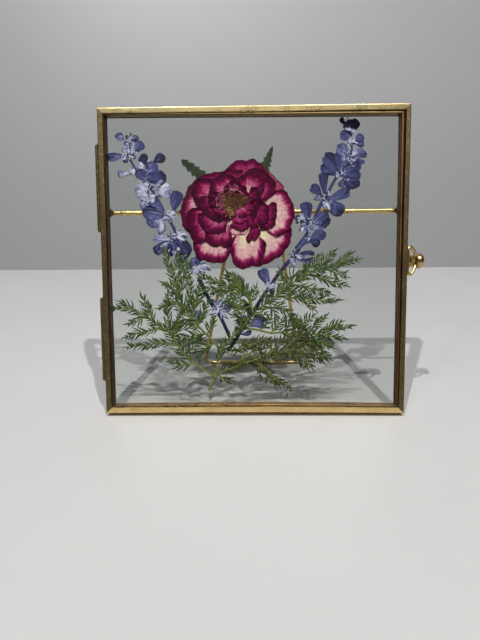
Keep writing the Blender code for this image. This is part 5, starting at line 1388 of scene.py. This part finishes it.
def rose_petal(bed, numbers, outline, number, settings):
    """One petal: lines run from a short root to a smooth rim, each a little curved.

    A point is the root's point times 1 - v plus the rim's point times v. The rim waves in
    and out by a few sines, and lifts towards the viewer. The petal settles on what lies
    under it, so that rims stand out over each other as in a pressed flower. Its dye goes
    from the rim's tone to the middle's over the fade, and on to the root's.
    """
    root_tone, mid_tone, rim_tone, rim_width, fade, curl, warm = numbers
    rows, columns, keep = 81, 169, 3
    seed = np.random.default_rng(40 + number)
    outline = np.array(outline)
    rim = smooth_path(outline[1:], columns)
    toward = rim - outline[0]
    toward /= np.linalg.norm(toward, axis=1)[:, None]
    u = np.linspace(0, 1, columns)
    v = np.linspace(0, 1, rows)[:, None]
    size = path_length(rim)

    def ripple(turns, slant=0):
        """A sine along the rim with a start of its own."""
        return np.sin(2 * math.pi * (turns * u + slant * v + seed.random()))

    waves = np.zeros(columns)
    for period, share in ((7, 0.5), (3.4, 0.3), (1.5, 0.16)):
        waves += share * ripple(size / period)[0]
    rim = rim + toward * (settings.ruffle * waves)[:, None]
    middle = rim[columns // 2] - outline[0]
    aside = np.array([-middle[1], middle[0]]) / np.linalg.norm(middle)
    chord = (rim[-1] - rim[0]) @ aside
    base = outline[0] + aside * (chord * 0.22 * (u - 0.5))[:, None]
    flat = base * (1 - v)[..., None] + rim * v[..., None]
    swirl = 0.35 * np.sin(math.pi * v) * ripple(1)
    flat = flat + aside * swirl[..., None]
    lift = curl * (0.75 + 0.35 * waves) * smooth_step(0.78, 1.0, v)
    folds = 0.035 * ripple(size / 4.2) * v
    folds = folds + 0.02 * ripple(size / 1.9, 1.7) * v
    skin = settings.thickness / MM
    height = bed.under(flat) + skin * 0.75 + lift + folds + 0.03
    bed.lay(flat, height + skin * 0.75)
    reach = np.linalg.norm(rim - base, axis=1)
    inward = (1 - v) * reach
    wander = 0.4 * waves
    for period, depth in ((1.7, 0.3), (0.8, 0.18), (0.43, 0.12)):
        wander = wander + depth * ripple(size / period)[0]
    inside = smooth_step(rim_width, rim_width + fade, inward + wander)
    deeper = smooth_step(rim_width + fade, 0.85 * reach.max(), inward + 1.5 * wander)
    dye = rim_tone + (mid_tone - rim_tone) * inside + (root_tone - mid_tone) * deeper
    dye = dye + 0.16 * (1 - smooth_step(0.0, 0.35, inward))
    grid = np.stack([flat[..., 0], REARMOST - height, flat[..., 1]], axis=-1)
    patch = warm * np.exp(-(((v - 0.62) / 0.3) ** 2)) * (0.6 + 0.4 * np.sin(2 * math.pi * u))
    return open_sheet(
        grid[::keep, ::keep],
        along=v[::keep],
        across=(u * size / 30)[None, ::keep],
        own=number * 7.3,
        dye=dye[::keep, ::keep],
        warm=patch[::keep, ::keep],
    )


# The small petals round the stamens: direction in degrees, nearest and furthest reach in
# millimetres, and half the spread in degrees.
SMALL_PETALS = (
    (205, 5.0, 12.0, 22), (150, 5.5, 11.5, 20), (230, 5.0, 11.5, 18), (178, 5.0, 10.5, 20),
    (112, 5.0, 10.5, 20), (55, 5.5, 11.0, 17), (82, 5.0, 9.0, 20), (18, 3.8, 10.5, 18),
    (-14, 3.6, 10.8, 18), (-42, 3.6, 11.0, 18), (262, 4.5, 9.5, 18), (298, 5.0, 10.5, 16),
)
SMALL_PETALS_MIDDLE = np.array([-9.4, 105.8])
# Their tones, rim, fade, curl and stain, as in ROSE_PETALS.
SMALL_PETAL_NUMBERS = (0.42, 0.66, 0.96, 0.6, 1.5, 0.35, 0)


def build_rose(settings):
    """The rose's petals, from the rearmost forward, each laid on those before it."""
    build_fibres_group()
    bed, skin = PetalBed(), petal_material(settings)
    petals = [(number, *petal) for number, petal in enumerate(ROSE_PETALS)]
    for number, (angle, near, far, half) in enumerate(SMALL_PETALS):
        share = np.linspace(-1, 1, 7)
        arc = compass(np.radians(angle + half * share)) * [1, 0.72]
        rim = SMALL_PETALS_MIDDLE + arc * (far * (1 - 0.2 * share**2))[:, None]
        outline = np.vstack([SMALL_PETALS_MIDDLE + near * arc[3], rim])
        petals.append((60 + number, f"small_{number + 1}", "", SMALL_PETAL_NUMBERS, outline))
    for number, name, stands_for, numbers, outline in petals:
        sheet = rose_petal(bed, numbers, outline, number, settings)
        replaced = stands_for and f"rose_petal_{stands_for}"
        petal = add_growth(f"petal_{name}", [sheet], skin, replaced)
        wall = petal.modifiers.new("thickness", "SOLIDIFY")
        wall.thickness = settings.thickness
        wall.offset = 0
        wall.use_even_offset = False
    return bed


def stamen_parts(bed):
    """The rose's middle: anthers, their threads, small curled petals and a cushion under them.

    Anthers are thrown over a wavy ellipse, some in a trail below it. A thread runs to an
    anther from nearer the middle. The curls lie along the upper half of the ellipse.
    """
    seed = np.random.default_rng(7)
    count, threads, curls, wide, high = 560, 170, 34, 6.9, 3.9
    angle = seed.random(count) * 2 * math.pi
    far = seed.random(count) ** 0.6
    uneven = 1 + 0.18 * np.sin(3 * angle + 1) + 0.1 * np.sin(8 * angle)
    x = ROSE_MIDDLE[0] + wide * far * uneven * np.cos(angle)
    z = ROSE_MIDDLE[1] + high * far * uneven * np.sin(angle)
    trail = seed.random(count) < 0.16
    x = np.where(trail, -11.2 + 1.3 * seed.standard_normal(count), x)
    z = np.where(trail, 102.6 + 1.6 * seed.standard_normal(count), z)
    way = np.arctan2(z - 107.3, x + 9.7) + seed.normal(0, 0.7, count)
    size = seed.uniform(0.45, 0.95, count)
    root = np.stack([x, z], 1)
    tip = root + compass(way) * size[:, None]
    y = REARMOST - bed.under(root) - seed.uniform(0.1, 0.55, count)
    tone = np.clip(seed.normal(0.2, 0.2, count), 0, 1)
    tone = np.where(trail, np.clip(tone + 0.42, 0, 0.8), tone)
    anthers = blades(
        root, tip, seed.uniform(0.4, 0.8, count), lambda v: np.sin(math.pi * v) ** 0.5, y,
        lift=seed.uniform(-0.05, 0.15, count), thick=seed.uniform(0.22, 0.4, count),
        rows=4, round_=6, own=seed.random(count), tone=tone,
    )
    pick = seed.integers(0, count, threads)
    centre = np.array([-9.8, 107.5])
    inner = centre + 0.55 * (root[pick] - centre)
    strands = blades(
        inner, root[pick], 0.13, lambda v: 0.8 + 0.2 * v, y[pick] + 0.1, thick=0.12,
        bow=seed.normal(0, 0.08, threads), rows=5, round_=5,
        own=seed.random(threads), tone=np.clip(seed.normal(0.5, 0.25, threads), 0, 1),
    )
    angle = seed.uniform(0.3, 1.3, curls) * math.pi
    x = -9.9 + 7.7 * np.cos(angle) + seed.normal(0, 0.6, curls)
    z = 107.6 + 4.9 * np.sin(angle) + seed.normal(0, 0.7, curls)
    way = angle + math.pi / 2 + seed.normal(0, 0.4, curls)
    root = np.stack([x, z], 1)
    tip = root + compass(way) * seed.uniform(1.6, 3.2, curls)[:, None]
    y = REARMOST - bed.under((root + tip) / 2) - 0.12
    ribbons = blades(
        root, tip, seed.uniform(0.35, 0.85, curls), lambda v: np.sin(math.pi * v) ** 0.4, y,
        lift=seed.uniform(-0.1, 0.2, curls), thick=0.2, bow=seed.normal(0, 0.28, curls),
        cup=0.12, rows=8, round_=8, own=seed.random(curls),
        tone=np.where((angle < 1.6) & (seed.random(curls) < 0.6), 1.0, 0.9),
    )
    turn = np.linspace(0, 2 * math.pi, 40, endpoint=False)
    share = np.linspace(0, 1, 12)[1:, None]
    edge = 1 + 0.12 * np.sin(3 * turn + 1) + 0.08 * np.sin(7 * turn + 1)
    ring_x = ROSE_MIDDLE[0] + wide * share * np.cos(turn) * edge
    ring_z = ROSE_MIDDLE[1] + 4.1 * share * np.sin(turn) * edge
    highest = bed.under(np.stack([ring_x, ring_z], -1)).max()
    ring_y = REARMOST - highest * 0.72 + 0.5 * share**2
    front = np.stack([ring_x, ring_y + 0 * ring_x, ring_z], axis=-1)
    rings = np.concatenate([front, front[::-1] + [0, 0.25, 0]])[None]
    middle = np.array([[ROSE_MIDDLE[0], front[0, 0, 1], ROSE_MIDDLE[1]]])
    cushion = closed_bodies(
        rings, middle, middle + [0, 0.25, 0], along=0.5, across=0.5, own=0.3, tone=0.1
    )
    return [cushion, anthers, strands, ribbons]


def leaf_tip(root, tip, width, depth, number, teeth=6, blunt=8):
    """A leaf tip. At share v its width is a straight taper, times a rounded end, times a
    saw wave for its small forward teeth.
    """
    def outline(v):
        tooth = 1 - (v * teeth) % 1
        return (1.0 - 0.42 * v) * np.sqrt(1 - v**blunt) * (0.62 + 0.5 * tooth)
    return blades(
        root, tip, width, outline, depth, lift=0.15, thick=0.24, cup=0.1, rows=44, round_=10,
        own=number, tone=0.55,
    )


def build_rose_middle(bed):
    """The stamens, and the two leaf tips that show behind the rose."""
    add_growth("stamens", stamen_parts(bed), stamen_material(), "rose_stamens")
    greens = (0.055, 0.07, 0.03), (0.034, 0.05, 0.024), (0.022, 0.03, 0.016)
    leaf = leaf_material("dark leaf", *greens)
    tips = {
        "left": [
            leaf_tip((-20.5, 115.5), (-35.7, 127.9), 7.0, 4.9, 1.0),
            leaf_tip((-8.2, 120.0), (-8.6, 126.0), 0.9, 5.0, 2.0),
        ],
        "right": [leaf_tip((3.6, 117.5), (9.7, 133.8), 6.8, 4.9, 3.0, 7, 2.2)],
    }
    for side, parts in tips.items():
        add_growth(f"leaf_tip_{side}", parts, leaf, f"rose_sepal_{side}")


# ---------------------------------------------------------------- the blue spikes


# The width of a floret's parts at share v of their length: a bud is a sine hump, a round one
# widens softly and a wedge evenly to a blunt end, and a calyx bit is a hump on a taper.
FLORET_OUTLINES = {
    "bud": lambda v: np.sin(math.pi * v**0.85) ** 0.7,
    "round": lambda v: (0.28 + 0.95 * smooth_step(0.0, 0.75, v)) * np.sqrt(1 - v**5),
    "wedge": lambda v: (0.24 + 0.86 * v) * np.sqrt(1 - v**12),
    "calyx": lambda v: (0.5 + 0.5 * np.sin(math.pi * v**0.8)) * (1 - v**4) ** 0.7,
}
# Layers of a floret, rear to front: turn and its random spread in degrees, length, width,
# shift of tone, and distance forward.
# Each kind's last, narrow front layer is paler than the rest: a painted highlight down the
# floret's middle.
FLORET_LAYERS = {
    "bud": (
        (0, 0, 1.0, 1.0, 0.22, 0.0), (0, 8, 0.86, 0.62, -0.04, 0.2), (10, 8, 0.6, 0.26, -0.2, 0.3),
    ),
    "round": (
        (0, 0, 1.0, 1.0, 0.16, 0.0), (14, 6, 0.93, 0.66, 0.0, 0.12),
        (-15, 6, 0.9, 0.6, 0.05, 0.14), (0, 5, 0.6, 0.22, -0.12, 0.22),
    ),
    "wedge": (
        (0, 0, 1.0, 1.0, 0.16, 0.0), (9, 4, 0.9, 0.5, -0.02, 0.12),
        (-10, 4, 0.94, 0.42, 0.06, 0.14), (0, 4, 0.55, 0.24, -0.14, 0.22),
    ),
    "calyx": (
        (0, 6, 1.0, 0.86, 0.62, 0.0), (20, 8, 0.85, 0.4, 0.12, 0.14),
        (-20, 8, 0.85, 0.4, 0.2, 0.14), (0, 6, 0.95, 0.42, -0.05, 0.24),
    ),
}
FLORET_DEPTH = 5.2
STEM_DEPTH = 5.5


def floret_parts(florets, number, deeper=0.0):
    """Florets of one spike, all those of a kind worked out together, layer by layer.

    The last part is small dry bits round the florets' roots, some pale and some dark.
    """
    seed = np.random.default_rng(number)
    parts = []
    for kind, outline in FLORET_OUTLINES.items():
        rows = [floret[1:] for floret in florets if floret[0] == kind]
        if not rows:
            continue
        root, tip, width, tone = (np.array(column) for column in zip(*rows))
        count = len(rows)
        own_depth = FLORET_DEPTH + seed.uniform(-0.12, 0.12, count)
        for turn, spread, long, wide, shift, forward in FLORET_LAYERS[kind]:
            angle = np.radians(turn + seed.normal(0, 1, count) * spread)
            parts.append(blades(
                root, root + rotated(tip - root, angle) * long, width * wide, outline,
                own_depth - forward, lift=seed.uniform(0.0, 0.12, count), thick=0.14,
                bow=seed.normal(0, 0.09, count), cup=seed.uniform(0.0, 0.2, count),
                rows=11, round_=12, own=seed.random(count) * 40,
                tone=np.clip(tone + deeper + shift + seed.normal(0, 0.06, count), 0, 1),
            ))
    bits = 6 * len(florets)
    pick = seed.integers(0, len(florets), bits)
    root = np.array([florets[i][1] for i in pick]) + seed.normal(0, 0.85, (bits, 2))
    way = seed.uniform(0, 2 * math.pi, bits)
    tip = root + compass(way) * seed.uniform(0.9, 2.5, bits)[:, None]
    pale = seed.random(bits) < 0.5
    parts.append(blades(
        root, tip, seed.uniform(0.4, 0.9, bits), FLORET_OUTLINES["calyx"],
        5.0 + seed.uniform(-0.1, 0.1, bits), thick=0.16, bow=seed.normal(0, 0.15, bits),
        rows=5, round_=6, own=seed.random(bits) * 40,
        tone=np.where(pale, seed.uniform(0.0, 0.3, bits), seed.uniform(0.6, 1.0, bits)),
    ))
    return parts


def stem_part(points, depth, start, stop, thick, tone, number):
    """A flat stem that widens or narrows evenly along a smooth curve."""
    flat = smooth_path(points, max(12, int(path_length(points))))
    path = np.stack([flat[:, 0], np.full(len(flat), depth), flat[:, 1]], axis=1)
    half_wide = np.linspace(start, stop, len(path))
    return swept(path, half_wide, thick, (0, 1, 0), 10, own=number, tone=tone)


def build_spikes(settings):
    """The two spikes, a bract on the right one, and the petals that have dropped off."""
    blue = floret_material(settings)
    for side, florets, stems, number, deeper in (
        ("left", LEFT_FLORETS, LEFT_STEMS, 11, 0.0),
        ("right", RIGHT_FLORETS, RIGHT_STEMS, 12, 0.1),
    ):
        parts = floret_parts(florets, number, deeper)
        parts += [stem_part(points, STEM_DEPTH, *sizes) for points, *sizes in stems]
        add_growth(f"blue_spike_{side}", parts, blue, f"{side}_spike")
    bract = blades(
        (20.8, 96.2), (29.6, 97.9), 1.7, FLORET_OUTLINES["bud"], 5.1, thick=0.24, cup=0.1,
        rows=14, round_=10, own=4.0, tone=0.7,
    )
    add_growth("blue_spike_right_bract", [bract], bpy.data.materials["dark leaf"])
    for name, stands_for, floret in LOOSE_PETALS:
        name = f"loose_petal_{name}"
        petal = floret_parts([floret], len(name))[:-1]
        add_growth(name, petal, blue, stands_for and f"loose_petal_{stands_for}")


# ---------------------------------------------------------------- the green sprigs


def sprig_parts(twigs, depth, settings, number):
    """A sprig: tubes along its twigs, and thin leaflets set off both sides of each.

    Leaflets come every millimetre or so at about 36 degrees, longest midway along a twig,
    and some fork. Each tapers to a point and bends a little.
    """
    seed = np.random.default_rng(number)
    parts, leaflets = [], []
    for order, twig in enumerate(twigs):
        main = order == 0
        width, tone, bare = (0.62, 0.0, 0.3) if main else (0.4, 0.1, 0.08)
        parts.append(stem_part(twig, depth, width, 0.24, 0.2, tone, 9.0))
        count = max(4, int(path_length(np.array(twig)) / settings.spacing))
        path = smooth_path(twig, count)
        ahead = np.gradient(path, axis=0)
        ahead /= np.linalg.norm(ahead, axis=1)[:, None]
        share = np.linspace(0, 1, count)
        use = share > bare
        for side in (-1, 1):
            spin = rotated(ahead, side * np.radians(seed.normal(36, 7, count)))
            size = settings.leaflet * (0.62 + 0.5 * np.sin(math.pi * share**0.7))
            size = (size * seed.uniform(0.7, 1.15, count))[:, None]
            at = path + ahead * (0.3 * side + seed.normal(0, 0.12, count))[:, None]
            deep = depth + seed.uniform(-0.3, 0.3, count)
            leaflets.append((at[use], (at + spin * size)[use], deep[use]))
            forked = use & (seed.random(count) < 0.12)
            fork = rotated(spin, np.radians(seed.uniform(-34, 34, count)))
            begin = at + spin * size * 0.42
            deep = depth + seed.uniform(-0.3, 0.3, count)
            leaflets.append((begin[forked], (begin + fork * size * 0.6)[forked], deep[forked]))
        leaflets.append((path[-1:], path[-1:] + ahead[-1:] * settings.leaflet, [depth]))
    root, tip, deep = (np.concatenate(column) for column in zip(*leaflets))
    count = len(root)
    parts.append(blades(
        root, tip, settings.width * seed.uniform(0.75, 1.25, count),
        lambda v: (0.55 + 0.45 * np.sin(math.pi * v)) * (1 - v**2.4), deep,
        lift=seed.uniform(-0.15, 0.2, count), thick=0.16, bow=seed.normal(0, 0.07, count),
        rows=4, round_=5, own=seed.random(count) * 30,
        tone=np.clip(seed.normal(0.38, 0.16, count), 0, 1),
    ))
    return parts


def build_sprigs(settings):
    """All sprigs. Those at the bottom have faded."""
    green = leaf_material("sprig green", settings.stem, settings.leaf, settings.tip)
    dry = leaf_material("dry sprig", settings.stem, settings.dry, settings.tip)
    for number, (name, twigs) in enumerate(SPRIGS.items()):
        parts = sprig_parts(twigs, SPRIG_DEPTHS[name], settings, 60 + number)
        skin = dry if name.startswith("bottom") else green
        add_growth(f"{name}_leaflets", parts, skin, name)


# ---------------------------------------------------------------- the add-on


class FLOWERFRAME_OT_stage(bpy.types.Operator):
    """Adds the floor, backdrop, lights and camera"""

    bl_idname = "flowerframe.stage"
    bl_label = "Stage"

    def execute(self, context):
        build_stage(context.scene.flowerframe_stage)
        return {"FINISHED"}


class FLOWERFRAME_OT_brass(bpy.types.Operator):
    """Finishes the brass rails, hinges and lugs"""

    bl_idname = "flowerframe.brass"
    bl_label = "Brass Rails"

    def execute(self, context):
        build_brass(context.scene.flowerframe_metal)
        return {"FINISHED"}


class FLOWERFRAME_OT_panes(bpy.types.Operator):
    """Gives the two panes their clear glass"""

    bl_idname = "flowerframe.panes"
    bl_label = "Glass Panes"

    def execute(self, context):
        build_panes(context.scene.flowerframe_glass)
        return {"FINISHED"}


class FLOWERFRAME_OT_clasp(bpy.types.Operator):
    """Builds the turned knob and the wire that grips it"""

    bl_idname = "flowerframe.clasp"
    bl_label = "Clasp"

    def execute(self, context):
        build_clasp()
        return {"FINISHED"}


class FLOWERFRAME_OT_stand(bpy.types.Operator):
    """Builds the cross rod and the wire leg"""

    bl_idname = "flowerframe.stand"
    bl_label = "Stand"

    def execute(self, context):
        build_stand()
        return {"FINISHED"}


class FLOWERFRAME_OT_rose(bpy.types.Operator):
    """Lays the rose's petals, its stamens and the leaf tips behind it"""

    bl_idname = "flowerframe.rose"
    bl_label = "Rose"

    def execute(self, context):
        bed = build_rose(context.scene.flowerframe_rose)
        build_rose_middle(bed)
        return {"FINISHED"}


class FLOWERFRAME_OT_spikes(bpy.types.Operator):
    """Builds the two blue flower spikes and the loose petals"""

    bl_idname = "flowerframe.spikes"
    bl_label = "Blue Spikes"

    def execute(self, context):
        build_spikes(context.scene.flowerframe_spikes)
        return {"FINISHED"}


class FLOWERFRAME_OT_sprigs(bpy.types.Operator):
    """Builds the feathery green sprigs"""

    bl_idname = "flowerframe.sprigs"
    bl_label = "Green Sprigs"

    def execute(self, context):
        build_sprigs(context.scene.flowerframe_sprigs)
        return {"FINISHED"}


class FLOWERFRAME_PT_panel(bpy.types.Panel):
    """Buttons for each group of pieces, with its settings"""

    bl_idname = "FLOWERFRAME_PT_panel"
    bl_label = "Pressed Flower Frame"
    bl_space_type = "VIEW_3D"
    bl_region_type = "UI"
    bl_category = "Flower Frame"

    def draw(self, context):
        layout = self.layout
        for button in BUTTONS:
            layout.operator(button.bl_idname)
        for name in SETTINGS:
            group = getattr(context.scene, name)
            box = layout.box()
            box.label(text=name.split("_")[1].capitalize())
            for key in type(group).__annotations__:
                box.prop(group, key)


BUTTONS = (
    FLOWERFRAME_OT_stage,
    FLOWERFRAME_OT_brass,
    FLOWERFRAME_OT_panes,
    FLOWERFRAME_OT_clasp,
    FLOWERFRAME_OT_stand,
    FLOWERFRAME_OT_rose,
    FLOWERFRAME_OT_spikes,
    FLOWERFRAME_OT_sprigs,
)
SETTINGS = {
    "flowerframe_metal": FlowerFrameMetal,
    "flowerframe_glass": FlowerFrameGlass,
    "flowerframe_rose": FlowerFrameRose,
    "flowerframe_spikes": FlowerFrameSpikes,
    "flowerframe_sprigs": FlowerFrameSprigs,
    "flowerframe_stage": FlowerFrameStage,
}


def register():
    for cls in (*SETTINGS.values(), *BUTTONS, FLOWERFRAME_PT_panel):
        bpy.utils.register_class(cls)
    for name, group in SETTINGS.items():
        setattr(bpy.types.Scene, name, PointerProperty(type=group))


def unregister():
    for name in SETTINGS:
        delattr(bpy.types.Scene, name)
    for cls in (FLOWERFRAME_PT_panel, *BUTTONS[::-1], *SETTINGS.values()):
        bpy.utils.unregister_class(cls)


def main():
    """Builds every group in order."""
    register()
    for button in BUTTONS:
        getattr(bpy.ops.flowerframe, button.bl_idname.split(".")[1])()
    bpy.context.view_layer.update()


if __name__ == "__main__":
    main()
